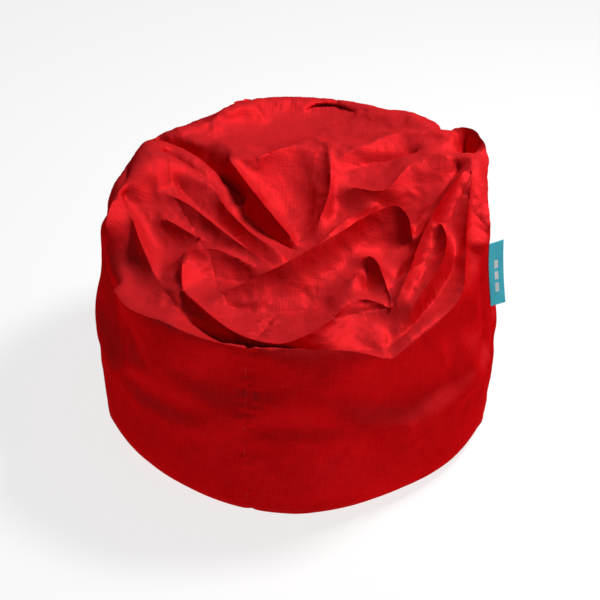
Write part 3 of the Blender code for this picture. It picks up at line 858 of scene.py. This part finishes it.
def cutLayout(cover, plan):
    # The flat cut of every corner: round the wall and up it for a side panel, and in plan for the crown.
    mesh = cover.data
    wall, columns, rows = bag["wallRadius"], bag["columns"], bag["rows"]
    corner = readArray(mesh.loops, "vertex_index")
    panel = np.repeat(readArray(mesh.polygons, "material_index"), readArray(mesh.polygons, "loop_total"))
    azimuths = azimuthOf(plan)
    rim = overShoulder(azimuthDirections(azimuths) * wall)[:, 2]
    up = rim + wall - np.hypot(plan[:, 0], plan[:, 1])
    up[: columns * (rows + 1)] = np.repeat(np.arange(rows + 1) / rows, columns) * rim[: columns * (rows + 1)]
    middle = bag["frontSeam"] + 45 + 90 * panel
    across = np.radians(turnFrom(azimuths[corner], middle)) * wall
    u = np.where(panel == 4, plan[corner, 0], across + panel)
    v = np.where(panel == 4, plan[corner, 1] + 5, up[corner])
    layer = mesh.uv_layers.new(name="cloth")
    layer.data.foreach_set("uv", np.column_stack([u, v]).ravel().astype(np.float32))


def subdivide(item, levels):
    modifier = item.modifiers.new("smooth", "SUBSURF")
    modifier.levels = modifier.render_levels = levels
    made = evaluatedMesh(item)
    item.modifiers.clear()
    return made


def thicken(item, thickness):
    modifier = item.modifiers.new("fabric", "SOLIDIFY")
    modifier.thickness = thickness
    modifier.offset = -1
    made = evaluatedMesh(item)
    item.modifiers.clear()
    old, item.data = item.data, made
    bpy.data.meshes.remove(old)


def openMouth(points, side):
    # Draws one panel's edge back from the rear seam, so that the zip lies between two folded edges.
    turn = np.radians(turnFrom(azimuthOf(points), zipAzimuth)) * bag["wallRadius"]
    end = zipMouth["end"]
    ease = smoothStep((points[:, 2] - zipMouth["foot"] + end) / end)
    ease *= smoothStep((zipMouth["top"] + end - points[:, 2]) / end)
    share = np.clip(1 - np.abs(turn) / zipMouth["reach"], 0, 1) * ease * (points[:, 1] > 0.2)
    angle = np.radians(-side * share * zipMouth["halfWidth"] / bag["wallRadius"] * 180 / math.pi)
    turned = points.copy()
    turned[:, 0] = points[:, 0] * np.cos(angle) - points[:, 1] * np.sin(angle)
    turned[:, 1] = points[:, 0] * np.sin(angle) + points[:, 1] * np.cos(angle)
    return turned


def pieceName(node):
    first, *rest = node.split("_")
    return first + "".join(word.capitalize() for word in rest)


def splitPanels(mesh, points, gap):
    # One object for each panel, its edges drawn in a hair so that no two panels share a point.
    panel = readArray(mesh.polygons, "material_index")
    quads = readArray(mesh.loops, "vertex_index").reshape(-1, 4)
    layout = readArray(mesh.uv_layers["cloth"].data, "uv", 2, np.float32).reshape(-1, 4, 2)
    made = []
    for k, name in enumerate(panelNames):
        own = quads[panel == k]
        used, local = np.unique(own, return_inverse=True)
        local = local.reshape(own.shape)
        place = points[used].copy()
        if k in (1, 2):
            place = openMouth(place, 1 if k == 2 else -1)
        centre = np.zeros((len(used), 3))
        share = np.zeros(len(used))
        middles = place[local].mean(axis=1)
        for c in range(4):
            np.add.at(centre, local[:, c], middles)
            np.add.at(share, local[:, c], 1)
        inward = centre / share[:, None] - place
        seam = gap[used] < seams["edgeReach"]
        length = np.linalg.norm(inward[seam], axis=1)[:, None]
        place[seam] += inward[seam] / np.maximum(length, 1e-6) * seams["openGap"]
        item = addMesh(pieceName(name), place, local, [finishes["nylon"]])
        item.data.uv_layers.new(name="cloth").data.foreach_set("uv", layout[panel == k].ravel())
        edge = item.data.attributes.new("seamGap", "FLOAT", "POINT")
        edge.data.foreach_set("value", gap[used].astype(np.float32))
        item.data.shade_smooth()
        made.append(item)
    return made


coverCloth, heldPoints, clothPlan, seamChains = buildCover()
print("cover cut and folded:", len(coverCloth.data.vertices), "points")
relaxCover(coverCloth, heldPoints)
print("cover relaxed")
cutLayout(coverCloth, clothPlan)
smoothMesh = subdivide(coverCloth, 1)
points, normals = meshArrays(smoothMesh)
points = evenFolds(coverCloth.data, smoothMesh, points)
points, normals = meshArrays(smoothMesh, points)
points = creaseCloth(points, normals)
points, normals = meshArrays(smoothMesh, points)
points = steadyWall(swellWall(points, normals))
seamLines = [smoothPath(points[chain], 0.002) for chain in seamChains]
points, seamGap = sewSeams(points, normals, seamLines)
points[:, 2] = np.maximum(points[:, 2], 0)
panels = splitPanels(smoothMesh, points, seamGap)
bpy.data.objects.remove(coverCloth)
skin = BVHTree.FromPolygons([tuple(p) for p in points], [tuple(f.vertices) for f in smoothMesh.polygons])
for name, item in zip(panelNames, panels):
    thicken(item, seams["fabric"])
    item.data.set_sharp_from_angle(angle=math.radians(65))
    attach(item, "cover")
    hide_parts(name)
print("cover panels sewn")


def finishPiece(item, body, node):
    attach(item, body)
    if node:
        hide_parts(node)


def layFlat(item, layout):
    # layout is the place of every point in the flat cut.
    corner = readArray(item.data.loops, "vertex_index")
    layer = item.data.uv_layers.new(name="cloth")
    layer.data.foreach_set("uv", np.asarray(layout)[corner].ravel().astype(np.float32))


def faceTowards(item, direction):
    if item.data.polygons[0].normal.dot(Vector((*direction, 0))) < 0:
        item.data.flip_normals()


def gridFaces(rows, columns, closed=False):
    wrap = columns if closed else columns - 1
    return [(i * columns + j, i * columns + (j + 1) % columns, (i + 1) * columns + (j + 1) % columns,
             (i + 1) * columns + j) for i in range(rows - 1) for j in range(wrap)]


# The base, a round of canvas that lies on the floor with a few slack ripples.
base = {"inset": 0.0035, "rings": 30, "ripple": 0.0008, "fabric": 0.0012}


def buildBase():
    columns, rings = 192, base["rings"]
    out = azimuthDirections(360 * np.arange(columns) / columns)
    points = [np.zeros((1, 3))]
    for ring in range(1, rings + 1):
        reach = (floorReach(np.arange(columns) * 360 / columns) - base["inset"])[:, None] * ring / rings
        x, y = (out * reach).T
        lift = base["ripple"] * (1 - ring / rings) * (1 + np.sin(x * 61 + 2) * np.sin(y * 47))
        points.append(np.column_stack([x, y, lift]))
    points = np.vstack(points)
    faces = [(0, 1 + (j + 1) % columns, 1 + j) for j in range(columns)]
    faces += [tuple(1 + k for k in face) for face in gridFaces(rings, columns, True)]
    corners = [points[list(face[:3]), :2] for face in faces]
    turns = [np.linalg.det(np.array([b - a, c - b])) for a, b, c in corners]
    faces = [face[::-1] if turn > 0 else face for face, turn in zip(faces, turns)]
    item = addMesh("basePanel", points, faces, [finishes["canvas"]])
    layFlat(item, points[:, :2] + 0.5)
    thicken(item, base["fabric"])
    item.data.shade_smooth()
    finishPiece(item, "cover", "base_panel")


# The liner and the beads in it follow the slack cover from below.
lining = {"wallInset": 0.012, "topInset": 0.016, "fabric": 0.0010, "beadInset": 0.0030, "wrinkle": 0.0016,
          "beadWrinkle": 0.0022, "mouthHalf": 0.007, "mouthFoot": 0.130, "mouthTop": 0.330, "zipSide": 6,
          "columns": 120, "lowestTop": 0.30, "rimTop": 0.40,
          "bottom": (0.25, 0.5, 0.75, 0.9),
          "levels": (0.095, 0.13, 0.155, 0.18, 0.205, 0.23, 0.255, 0.28, 0.305, 0.33)}


def around(table):
    # The neighbours of every place, in a table with one row for each step and its columns round the bag.
    following, before = np.vstack([table[1:], table[-1:]]), np.vstack([table[:1], table[:-1]])
    return [np.roll(table, 1, 1), np.roll(table, -1, 1), following, before]


def topUnder(directions, reaches, skinTree):
    # Height of the cover's underside over each place, with its lowest neighbour counted.
    low = np.full((len(reaches), len(directions)), lining["lowestTop"])
    for i, reach in enumerate(reaches):
        for j, out in enumerate(directions):
            hit = skinTree.ray_cast(Vector((*(out * reach), 0.15)), Vector((0, 0, 1)))
            if hit[0]:
                low[i, j] = hit[0].z
    for _ in range(2):
        low = np.minimum(low, np.min(around(low), axis=0))
    for _ in range(3):
        low = 0.5 * low + 0.125 * sum(around(low))
    return low


def wallInside(azimuths, heights, skinTree):
    # Distance from the axis to the cover's inside at every height, with its nearest neighbour counted.
    near = np.full((len(heights), len(azimuths)), bag["wallRadius"])
    for i, height in enumerate(heights):
        for j, out in enumerate(azimuthDirections(azimuths)):
            hit = skinTree.ray_cast(Vector((*(out * 0.2), height)), Vector((*out, 0)))
            if hit[0]:
                near[i, j] = min(near[i, j], hit[0].xy.length)
    for _ in range(2):
        near = np.minimum(near, np.min(around(near)[:3], axis=0))
    return near


def bagPoints(inset, topInset, azimuths, tops, reaches, slack, skinTree):
    out = azimuthDirections(azimuths)
    wall, floor, tuck = bag["wallRadius"] - inset, bag["floorRadius"] - inset, bag["tuckHeight"]
    rows = [np.column_stack([out * floor * share, np.full(len(out), inset)]) for share in lining["bottom"]]
    for turn in np.linspace(0, math.pi / 2, 5):
        reach, height = floor + (wall - floor) * math.sin(turn), inset + tuck * (1 - math.cos(turn))
        rows.append(np.column_stack([out * reach, np.full(len(out), height)]))
    rim = np.minimum(tops[-1] - topInset, lining["rimTop"]) - 0.02
    levels = lining["levels"]
    insides = wallInside(azimuths, levels, skinTree) - inset
    side = np.abs(turnFrom(azimuths, linerZipAzimuth)) < lining["zipSide"]
    for height, near in zip(levels, insides):
        near = np.where(side, wall, np.minimum(near, wall))
        height = np.minimum(height, rim - 0.03 * (levels[-1] - height))
        rows.append(np.column_stack([out * near[:, None], height]))
    rows.append(np.column_stack([out * (insides[-1] - 0.006)[:, None], np.maximum(rim, levels[-1] + 0.003)]))
    for reach, top in list(zip(reaches, tops))[::-1]:
        rows.append(np.column_stack([out * (reach - inset), top - topInset]))
    points = np.vstack(rows)
    crease = np.sin(azimuthOf(points) * 0.61) * np.sin(points[:, 2] * 71 + azimuthOf(points) * 0.13)
    reach = np.maximum(np.hypot(points[:, 0], points[:, 1]), 0.1)
    points[:, :2] *= (1 - slack * (1 + crease) * (points[:, 2] > 0.1) / reach)[:, None]
    ends = np.array([[0, 0, inset], [0, 0, tops[0].mean() - topInset]])
    return np.vstack([points, ends]), len(rows)


def isMouth(face, heights, columns):
    # The faces left out of the liner between the two halves of its zip.
    places = [k % columns for k in face]
    low, high = min(heights[k] for k in face), max(heights[k] for k in face)
    onWall = max(face) < columns * (len(lining["bottom"]) + 5 + len(lining["levels"]))
    inReach = low > lining["mouthFoot"] - 0.003 and high < lining["mouthTop"] + 0.003
    return columns - 1 in places and 0 in places and inReach and onWall


def buildLining(skinTree):
    columns = lining["columns"]
    azimuths = np.arange(columns) * 360 / columns + linerZipAzimuth
    half = math.degrees(lining["mouthHalf"] / (bag["wallRadius"] - lining["wallInset"]))
    azimuths[0], azimuths[-1] = linerZipAzimuth + half, linerZipAzimuth - half
    reaches = np.linspace(0.03, 0.355, 30)
    tops = topUnder(azimuthDirections(azimuths), reaches, skinTree)
    for name, node, slot, within, slack, finish in (
        ("linerBag", "liner_bag", "liner_fabric", 0, lining["wrinkle"], "liner"),
        ("beadFill", "bead_fill", "beads", lining["beadInset"], lining["beadWrinkle"], "beads"),
    ):
        isLiner = name == "linerBag"
        points, rows = bagPoints(lining["wallInset"] + within, lining["topInset"] + within, azimuths, tops,
                                 reaches, slack, skinTree)
        faces = gridFaces(rows, columns, True)
        if isLiner:
            faces = [f for f in faces if not isMouth(f, points[:, 2], columns)]
        last = len(points) - 1
        faces += [(j, last - 1, (j + 1) % columns) for j in range(columns)]
        top = (rows - 1) * columns
        faces += [(top + j, top + (j + 1) % columns, last) for j in range(columns)]
        item = addMesh(name, points, faces, [finishes[finish]])
        outward = item.data.polygons[columns * 8]
        if outward.normal.dot(outward.center * Vector((1, 1, 0))) < 0:
            item.data.flip_normals()
        around = np.radians(azimuthOf(points)) * 0.37
        layFlat(item, np.column_stack([around, points[:, 2]]))
        if isLiner:
            thicken(item, lining["fabric"])
        item.data.shade_smooth()
        finishPiece(item, "cover", node)


# Runs of small things along a path: stitches of thread, and coils of a zip.


def makeRunTree(name, buildShape):
    tree = bpy.data.node_groups.new(name, "GeometryNodeTree")
    for label, kind in (("Geometry", "Geometry"), ("Pitch", "Float"), ("Length", "Float"), ("Width", "Float"),
                        ("Material", "Material")):
        tree.interface.new_socket(label, in_out="INPUT", socket_type="NodeSocket" + kind)
    tree.interface.new_socket("Geometry", in_out="OUTPUT", socket_type="NodeSocketGeometry")
    given = tree.nodes.new("NodeGroupInput").outputs
    curve = tree.nodes.new("GeometryNodeMeshToCurve")
    sample = tree.nodes.new("GeometryNodeResampleCurve")
    sample.mode = "LENGTH"
    facing = addNode(tree, "GeometryNodeInputNamedAttribute", {"data_type": "FLOAT_VECTOR"},
                     {"Name": "facing"})
    tangent = tree.nodes.new("GeometryNodeInputTangent")
    along = addNode(tree, "FunctionNodeAlignRotationToVector", {"axis": "X"})
    upright = addNode(tree, "FunctionNodeAlignRotationToVector", {"axis": "Z", "pivot_axis": "X"})
    copies = tree.nodes.new("GeometryNodeInstanceOnPoints")
    real = tree.nodes.new("GeometryNodeRealizeInstances")
    paint = tree.nodes.new("GeometryNodeSetMaterial")
    shape = buildShape(tree, given)
    wire(
        tree,
        (given["Geometry"], curve.inputs["Mesh"]),
        (curve.outputs["Curve"], sample.inputs["Curve"]),
        (given["Pitch"], sample.inputs["Length"]),
        (tangent.outputs["Tangent"], along.inputs["Vector"]),
        (along.outputs["Rotation"], upright.inputs["Rotation"]),
        (facing.outputs["Attribute"], upright.inputs["Vector"]),
        (sample.outputs["Curve"], copies.inputs["Points"]),
        (shape, copies.inputs["Instance"]),
        (upright.outputs["Rotation"], copies.inputs["Rotation"]),
        (copies.outputs["Instances"], real.inputs["Geometry"]),
        (real.outputs["Geometry"], paint.inputs["Geometry"]),
        (given["Material"], paint.inputs["Material"]),
        (paint.outputs["Geometry"], tree.nodes.new("NodeGroupOutput").inputs["Geometry"]),
    )
    return tree


def stitchShape(tree, given):
    ball = addNode(tree, "GeometryNodeMeshUVSphere", sockets={"Segments": 6, "Rings": 5, "Radius": 0.5})
    size = tree.nodes.new("ShaderNodeCombineXYZ")
    scaled = tree.nodes.new("GeometryNodeTransform")
    wire(tree, (given["Length"], size.inputs["X"]), (given["Width"], size.inputs["Y"]),
         (given["Width"], size.inputs["Z"]), (ball.outputs["Mesh"], scaled.inputs["Geometry"]),
         (size.outputs["Vector"], scaled.inputs["Scale"]))
    return scaled.outputs["Geometry"]


def coilShape(tree, given):
    # A loop of monofilament: Length is its outer size and Width the filament's own.
    radius = addMath(tree, "MULTIPLY", addMath(tree, "SUBTRACT", given["Length"], given["Width"]), 0.5)
    thread = addMath(tree, "MULTIPLY", given["Width"], 0.5)
    loop = addNode(tree, "GeometryNodeCurvePrimitiveCircle", sockets={"Resolution": 10})
    section = addNode(tree, "GeometryNodeCurvePrimitiveCircle", sockets={"Resolution": 5})
    tube = tree.nodes.new("GeometryNodeCurveToMesh")
    turned = addNode(tree, "GeometryNodeTransform", sockets={"Rotation": (0, math.radians(78), 0)})
    wire(tree, (radius, loop.inputs["Radius"]), (thread, section.inputs["Radius"]),
         (loop.outputs["Curve"], tube.inputs["Curve"]),
         (section.outputs["Curve"], tube.inputs["Profile Curve"]),
         (tube.outputs["Mesh"], turned.inputs["Geometry"]))
    return turned.outputs["Geometry"]


def placeRuns(name, tree, paths, facings, pitch, length, width, finish):
    points, edges, faces = [], [], []
    for path, facing in zip(paths, facings):
        edges += [(len(points) + k, len(points) + k + 1) for k in range(len(path) - 1)]
        points += [tuple(p) for p in path]
        faces += [tuple(f) for f in facing]
    mesh = bpy.data.meshes.new(name)
    mesh.from_pydata(points, edges, [])
    mesh.attributes.new("facing", "FLOAT_VECTOR", "POINT").data.foreach_set("vector", np.array(faces).ravel())
    item = addItem(name, mesh)
    modifier = item.modifiers.new("run", "NODES")
    modifier.node_group = tree
    sockets = {s.name: s.identifier for s in tree.interface.items_tree if s.in_out == "INPUT"}
    for socket, value in (("Pitch", pitch), ("Length", length), ("Width", width), ("Material", finish)):
        modifier[sockets[socket]] = value
    made = evaluatedMesh(item)
    item.modifiers.clear()
    item.data = made
    made.shade_smooth()
    bpy.data.meshes.remove(mesh)
    return item


runs = {"stitch": makeRunTree("stitchRun", stitchShape), "coil": makeRunTree("coilRun", coilShape)}
# The size of a stitch is its pitch, length and width.
stitches = {"offset": 0.0065, "size": (0.0046, 0.0038, 0.0009), "sink": 0.0001, "footHeight": 0.010,
            "mouthOffset": 0.0035, "mouthSize": (0.0032, 0.0027, 0.0008)}


def besideSeam(line, offset, tree):
    # A path on the cover that keeps a distance from a seam line, and the way the cloth faces along it.
    path, facing = [], []
    along = np.gradient(line, axis=0)
    for point, tangent in zip(line, along):
        normal = tree.find_nearest(Vector(point))[1]
        side = Vector(tangent).normalized().cross(normal)
        spot, normal, _, _ = tree.find_nearest(Vector(point) + side * offset)
        path.append(spot - normal * stitches["sink"])
        facing.append(normal)
    return smoothRun(np.array(path)), np.array(facing)


def smoothRun(path):
    for _ in range(2):
        path[1:-1] = 0.25 * path[:-2] + 0.5 * path[1:-1] + 0.25 * path[2:]
    return path


def buildStitches(lines, tree):
    front, right, back, left, crown = lines
    upper = back[back[:, 2] > zipMouth["top"] + 0.006]
    lower = back[back[:, 2] < zipMouth["foot"] - 0.008]
    made = [besideSeam(line, side * stitches["offset"], tree) for line, side in (
        (front[4:-4], -1), (right[4:-4], 1), (left[4:-4], 1), (crown[4:-4], 1), (upper, 1), (lower, 1))]
    ring = azimuthDirections(np.arange(0, 361, 0.5) + 0.25)
    found = [tree.find_nearest(Vector((*(out * 0.38), stitches["footHeight"]))) for out in ring]
    made.append((np.array([hit[0] for hit in found]), np.array([hit[1] for hit in found])))
    paths, facings = zip(*made)
    item = placeRuns("coverStitches", runs["stitch"], paths, facings, *stitches["size"], finishes["thread"])
    finishPiece(item, "cover", None)


def atAzimuth(azimuth, points):
    # Places given as (across, outwards, up) in a frame that faces an azimuth.
    points = np.asarray(points, float)
    out, across = azimuthDirections(azimuth), azimuthDirections(azimuth + 90)
    return np.column_stack([points[:, :1] * across + points[:, 1:2] * out, points[:, 2]])


def roundBox(name, azimuth, low, high, finish, rounding):
    shape = bmesh.new()
    bmesh.ops.create_cube(shape, size=1)
    for vertex in shape.verts:
        vertex.co = Vector([high[k] if vertex.co[k] > 0 else low[k] for k in range(3)])
    bmesh.ops.bevel(shape, geom=shape.edges[:], offset=rounding, segments=3, affect="EDGES", profile=0.5)
    return turnedShape(name, azimuth, shape, finish)


def turnedShape(name, azimuth, shape, finish):
    places = atAzimuth(azimuth, [tuple(v.co) for v in shape.verts])
    for vertex, place in zip(shape.verts, places):
        vertex.co = place
    bmesh.ops.recalc_face_normals(shape, faces=shape.faces[:])
    mesh = bpy.data.meshes.new(name)
    shape.to_mesh(mesh)
    shape.free()
    item = addItem(name, mesh)
    mesh.materials.append(finishes[finish])
    layFlat(item, [(v.co.x + v.co.y, v.co.z) for v in mesh.vertices])
    mesh.shade_smooth()
    mesh.set_sharp_from_angle(angle=math.radians(50))
    return item


# A coil zip. The slider is parked at its foot, where it is closed.
zipParts = {"tapeWidth": 0.014, "tapeThickness": 0.0008, "tapeEnd": 0.010, "tapeStep": 0.0016,
            "tapePlaces": (0, 0.03, 0.1, 0.2, 0.35, 0.5, 0.65, 0.8, 0.9, 0.97, 1.0), "laidOn": 0.0003,
            "chainWidth": 0.0024, "chainGap": 0.0016, "coilPitch": 0.0012, "coilWire": 0.0010,
            "sliderLength": 0.012, "plate": 0.0012, "flange": 0.0011, "lug": 0.0012, "clearance": 0.0004,
            "post": 0.0010, "stop": 0.003, "parkGap": 0.0005}


def buildZip(prefix, node, azimuth, tapeOut, foot, length, body):
    part = zipParts
    tapeIn, chainIn = tapeOut - part["tapeThickness"], tapeOut + part["laidOn"]
    chainOut, halfGap, top = chainIn + part["chainWidth"], part["chainGap"] / 2, foot + length
    for side, sign in (("Left", -1), ("Right", 1)):
        name = node + "_tape_" + side.lower()
        rows = int((length + 2 * part["tapeEnd"]) / part["tapeStep"])
        across = np.array(part["tapePlaces"])
        relief = np.where((across == 0.2) | (across == 0.9), -0.0001, 0)
        up = np.linspace(foot - part["tapeEnd"], top + part["tapeEnd"], rows)
        points, cutPlan = [], []
        for k, z in enumerate(up):
            ripple = 0.00008 * math.sin(z * 210) * across + relief * (1 + 0.5 * math.sin(z * 900))
            level = np.full(len(across), z)
            width = across * part["tapeWidth"]
            points.append(np.column_stack([sign * (halfGap + width), tapeOut - 0.0001 + ripple, level]))
            cutPlan.append(np.column_stack([width, level]))
        item = addMesh(prefix + "Tape" + side, atAzimuth(azimuth, np.vstack(points)),
                       gridFaces(rows, len(across)), [finishes["tape"]])
        faceTowards(item, azimuthDirections(azimuth))
        layFlat(item, np.vstack(cutPlan))
        thicken(item, part["tapeThickness"] - 0.0002)
        item.data.shade_smooth()
        item.data.set_sharp_from_angle(angle=math.radians(50))
        finishPiece(item, "cover", name)
        middle = sign * (halfGap + part["chainWidth"] / 2)
        ends = foot + 0.0005, top - 0.0005
        path = atAzimuth(azimuth, [(middle, (chainIn + chainOut) / 2, z) for z in ends])
        facing = np.repeat([[*azimuthDirections(azimuth + sign * 90), 0]], 2, axis=0)
        item = placeRuns(prefix + "Chain" + side, runs["coil"], [path], [facing], part["coilPitch"],
                         part["chainWidth"], part["coilWire"], finishes["coil"])
        finishPiece(item, "cover", node + "_chain_" + side.lower())
    halfStop = halfGap + part["chainWidth"] + part["flange"]
    for end, lowZ in (("bottom", foot - part["laidOn"] - part["stop"]), ("top", top + part["laidOn"])):
        item = roundBox(prefix + end.capitalize() + "Stop", azimuth, (-halfStop, chainIn, lowZ),
                        (halfStop, chainOut, lowZ + part["stop"]), "metal", 0.0006)
        finishPiece(item, "cover", node + "_" + end + "_stop")
    buildSlider(prefix, node, azimuth, tapeIn, chainIn, chainOut, foot, body)


def buildSlider(prefix, node, azimuth, tapeIn, chainIn, chainOut, foot, body):
    # Two plates joined by a post between the chains, with flanges round the chains and a lug on the outside.
    part = zipParts
    post = part["post"] / 2
    innerHigh = tapeIn - part["clearance"]
    innerLow = innerHigh - part["plate"]
    outerLow = chainOut + part["clearance"]
    outerHigh = outerLow + part["plate"]
    flangeIn = part["chainGap"] / 2 + part["chainWidth"] + part["clearance"]
    flangeOut = flangeIn + part["flange"]
    tip = chainIn + part["clearance"]
    half = [(flangeOut, innerLow), (flangeOut, innerHigh), (post, innerHigh), (post, outerLow),
            (flangeIn, outerLow), (flangeIn, tip), (flangeOut, tip), (flangeOut, outerHigh),
            (part["plate"], outerHigh), (part["plate"], outerHigh + part["lug"])]
    outline = half + [(-across, out) for across, out in reversed(half)]
    low = foot + part["parkGap"]
    shape = bmesh.new()
    face = shape.faces.new([shape.verts.new((across, out, low)) for across, out in outline])
    drawn = bmesh.ops.extrude_face_region(shape, geom=[face])
    raised = [item for item in drawn["geom"] if isinstance(item, bmesh.types.BMVert)]
    bmesh.ops.translate(shape, verts=raised, vec=(0, 0, part["sliderLength"]))
    corners = [e for e in shape.edges if abs(e.verts[0].co.z - e.verts[1].co.z) < 1e-6 or
               max(abs(v.co.x) for v in e.verts) > flangeOut - 1e-6]
    bmesh.ops.bevel(shape, geom=corners, offset=0.00016, segments=2, affect="EDGES", profile=0.5)
    item = turnedShape(prefix + "Slider", azimuth, shape, "metal")
    finishPiece(item, body, node + "_slider")


# The pocket that hides the parked slider: a patch of nylon sewn on three sides, open at its top.
pocket = {"halfWidth": 0.014, "foot": 0.080, "height": 0.036, "depth": 0.0046, "seam": 0.0028,
          "fabric": 0.0009, "standOff": 0.0005, "most": 0.0051, "places": 41, "stitchInset": 0.0013,
          "flat": (0.034, 0.038)}


def buildPocket():
    wall = bag["wallRadius"] + pocket["standOff"] + pocket["fabric"]
    places = pocket["places"]
    u = np.linspace(-1, 1, places)
    inner = 1 - pocket["seam"] / pocket["halfWidth"]
    bulge = np.sqrt(np.clip(1 - (np.abs(u) / inner) ** 6, 0, 1))
    points, layout = [], []
    for v in np.linspace(0, 1, places):
        rise = math.sqrt(1 - (1 - min(1, max(0, v * pocket["height"] - pocket["seam"]) / 0.006)) ** 2)
        crinkle = 0.0002 * np.sin(u * 23 + v * 3) * np.sin(v * 29) * bulge
        depth = (pocket["depth"] - pocket["fabric"]) * bulge * rise
        hem = 0.0002 if v > 0.9 else 0
        width, level = u * pocket["halfWidth"], np.full(places, v * pocket["height"])
        out = wall + depth * 0.97 + crinkle + hem * bulge
        points.append(np.column_stack([width, out, pocket["foot"] + level]))
        layout.append(np.column_stack([width, level]))
    points = np.vstack(points)
    points[:, 1] = np.minimum(points[:, 1], bag["wallRadius"] + pocket["most"])
    item = addMesh("zipGarage", atAzimuth(zipAzimuth, points), gridFaces(places, places), [finishes["nylon"]])
    faceTowards(item, azimuthDirections(zipAzimuth))
    layFlat(item, np.vstack(layout))
    thicken(item, pocket["fabric"])
    item.data.shade_smooth()
    finishPiece(item, "cover", "zip_garage")
    edge, foot = pocket["halfWidth"] - pocket["stitchInset"], pocket["foot"] + pocket["stitchInset"]
    top, out = pocket["foot"] + pocket["height"] - 0.001, wall + 0.0002
    corners = [(-edge, out, top), (-edge, out, foot), (edge, out, foot), (edge, out, top)]
    path = [corners[0]] + [tuple(a + (b - a) * t for a, b in zip(p, q)) for p, q in zip(corners, corners[1:])
                           for t in np.linspace(0.05, 1, 20)]
    heights = np.linspace(pocket["foot"] + pocket["height"] + 0.004, zipMouth["top"] - 0.004, 60)
    aside = zipMouth["halfWidth"] + stitches["mouthOffset"]
    sides = [[(side * aside, bag["wallRadius"] + 0.0001, z) for z in heights] for side in (-1, 1)]
    paths = [atAzimuth(zipAzimuth, line) for line in [path] + sides]
    facings = [np.repeat([[*azimuthDirections(zipAzimuth), 0]], len(line), axis=0) for line in paths]
    item = placeRuns("zipStitches", runs["stitch"], paths, facings, *stitches["mouthSize"],
                     finishes["thread"])
    finishPiece(item, "cover", None)


# The label: a woven ribbon folded once, its two ends caught in the seam, with plain bars for a mark.
label = {"width": 0.033, "height": 0.14, "middle": 0.333, "lean": 40.0, "standOff": 0.0012, "gap": 0.0003,
         "ribbon": 0.00045, "sway": 0.004, "curl": 0.0012, "columns": 34, "rows": 72, "cut": 0.0002,
         "bars": [(0.030, 0.048), (0.056, 0.074), (0.082, 0.100)], "barSpan": (0.38, 0.62)}


def buildLabel():
    columns, rows = label["columns"], label["rows"]
    azimuth = labelAzimuth + label["lean"]
    along, aside, out = [azimuthDirections(turn) for turn in (azimuth, azimuth + 90, labelAzimuth)]
    start = out * (bag["wallRadius"] + label["standOff"])
    # share runs out along one layer, round the fold and back along the other
    share = np.linspace(0, 2, 2 * columns + 1)
    reach = label["width"] * (1 - np.abs(1 - share)) - label["cut"]
    fold = label["gap"] / 2 + label["ribbon"] / 2
    side = fold * np.clip((1 - share) / 0.02, -1, 1)
    points, layout = [], []
    for row in range(rows + 1):
        v = row / rows
        z = label["middle"] + (v - 0.5) * (label["height"] - 2 * label["cut"])
        sway = label["sway"] * (v - 0.5) * (reach / label["width"])
        curl = label["curl"] * np.sin(v * 5.2 + 0.6) * (reach / label["width"]) ** 2
        places = start - out * leanAtLabel(z) + np.outer(reach, along) + np.outer(side + sway + curl, aside)
        points.append(np.column_stack([places, np.full(len(share), z)]))
        layout.append(np.column_stack([share * label["width"], np.full(len(share), z)]))
    faces = gridFaces(rows + 1, len(share))
    item = addMesh("sideLabel", np.vstack(points), faces, [finishes["label"], finishes["labelMark"]])
    faceTowards(item, aside)
    near, far = label["barSpan"]
    for k, face in enumerate(item.data.polygons):
        across, up = (k % (2 * columns) + 0.5) / columns, (k // (2 * columns) + 0.5) / rows * label["height"]
        if near < min(across, 2 - across) < far and any(low < up < high for low, high in label["bars"]):
            face.material_index = 1
    layFlat(item, np.vstack(layout))
    thicken(item, label["ribbon"])
    item.data.shade_smooth()
    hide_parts("side_label")
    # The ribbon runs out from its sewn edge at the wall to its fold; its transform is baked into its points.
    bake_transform(item)


buildBase()
buildLining(skin)
print("base, liner and beads made")
buildStitches(seamLines, skin)
# Each zip: names, azimuth, reach of its tape's outside, foot, length, the body of its slider.
buildZip("coverZip", "cover_zip", zipAzimuth, 0.3819, 0.090, 0.350, "cover_zip_slider")
buildZip("linerZip", "liner_zip", linerZipAzimuth, 0.3758, 0.130, 0.200, "liner_zip_slider")
buildPocket()
buildLabel()
print("seams, zips, pocket and label made")
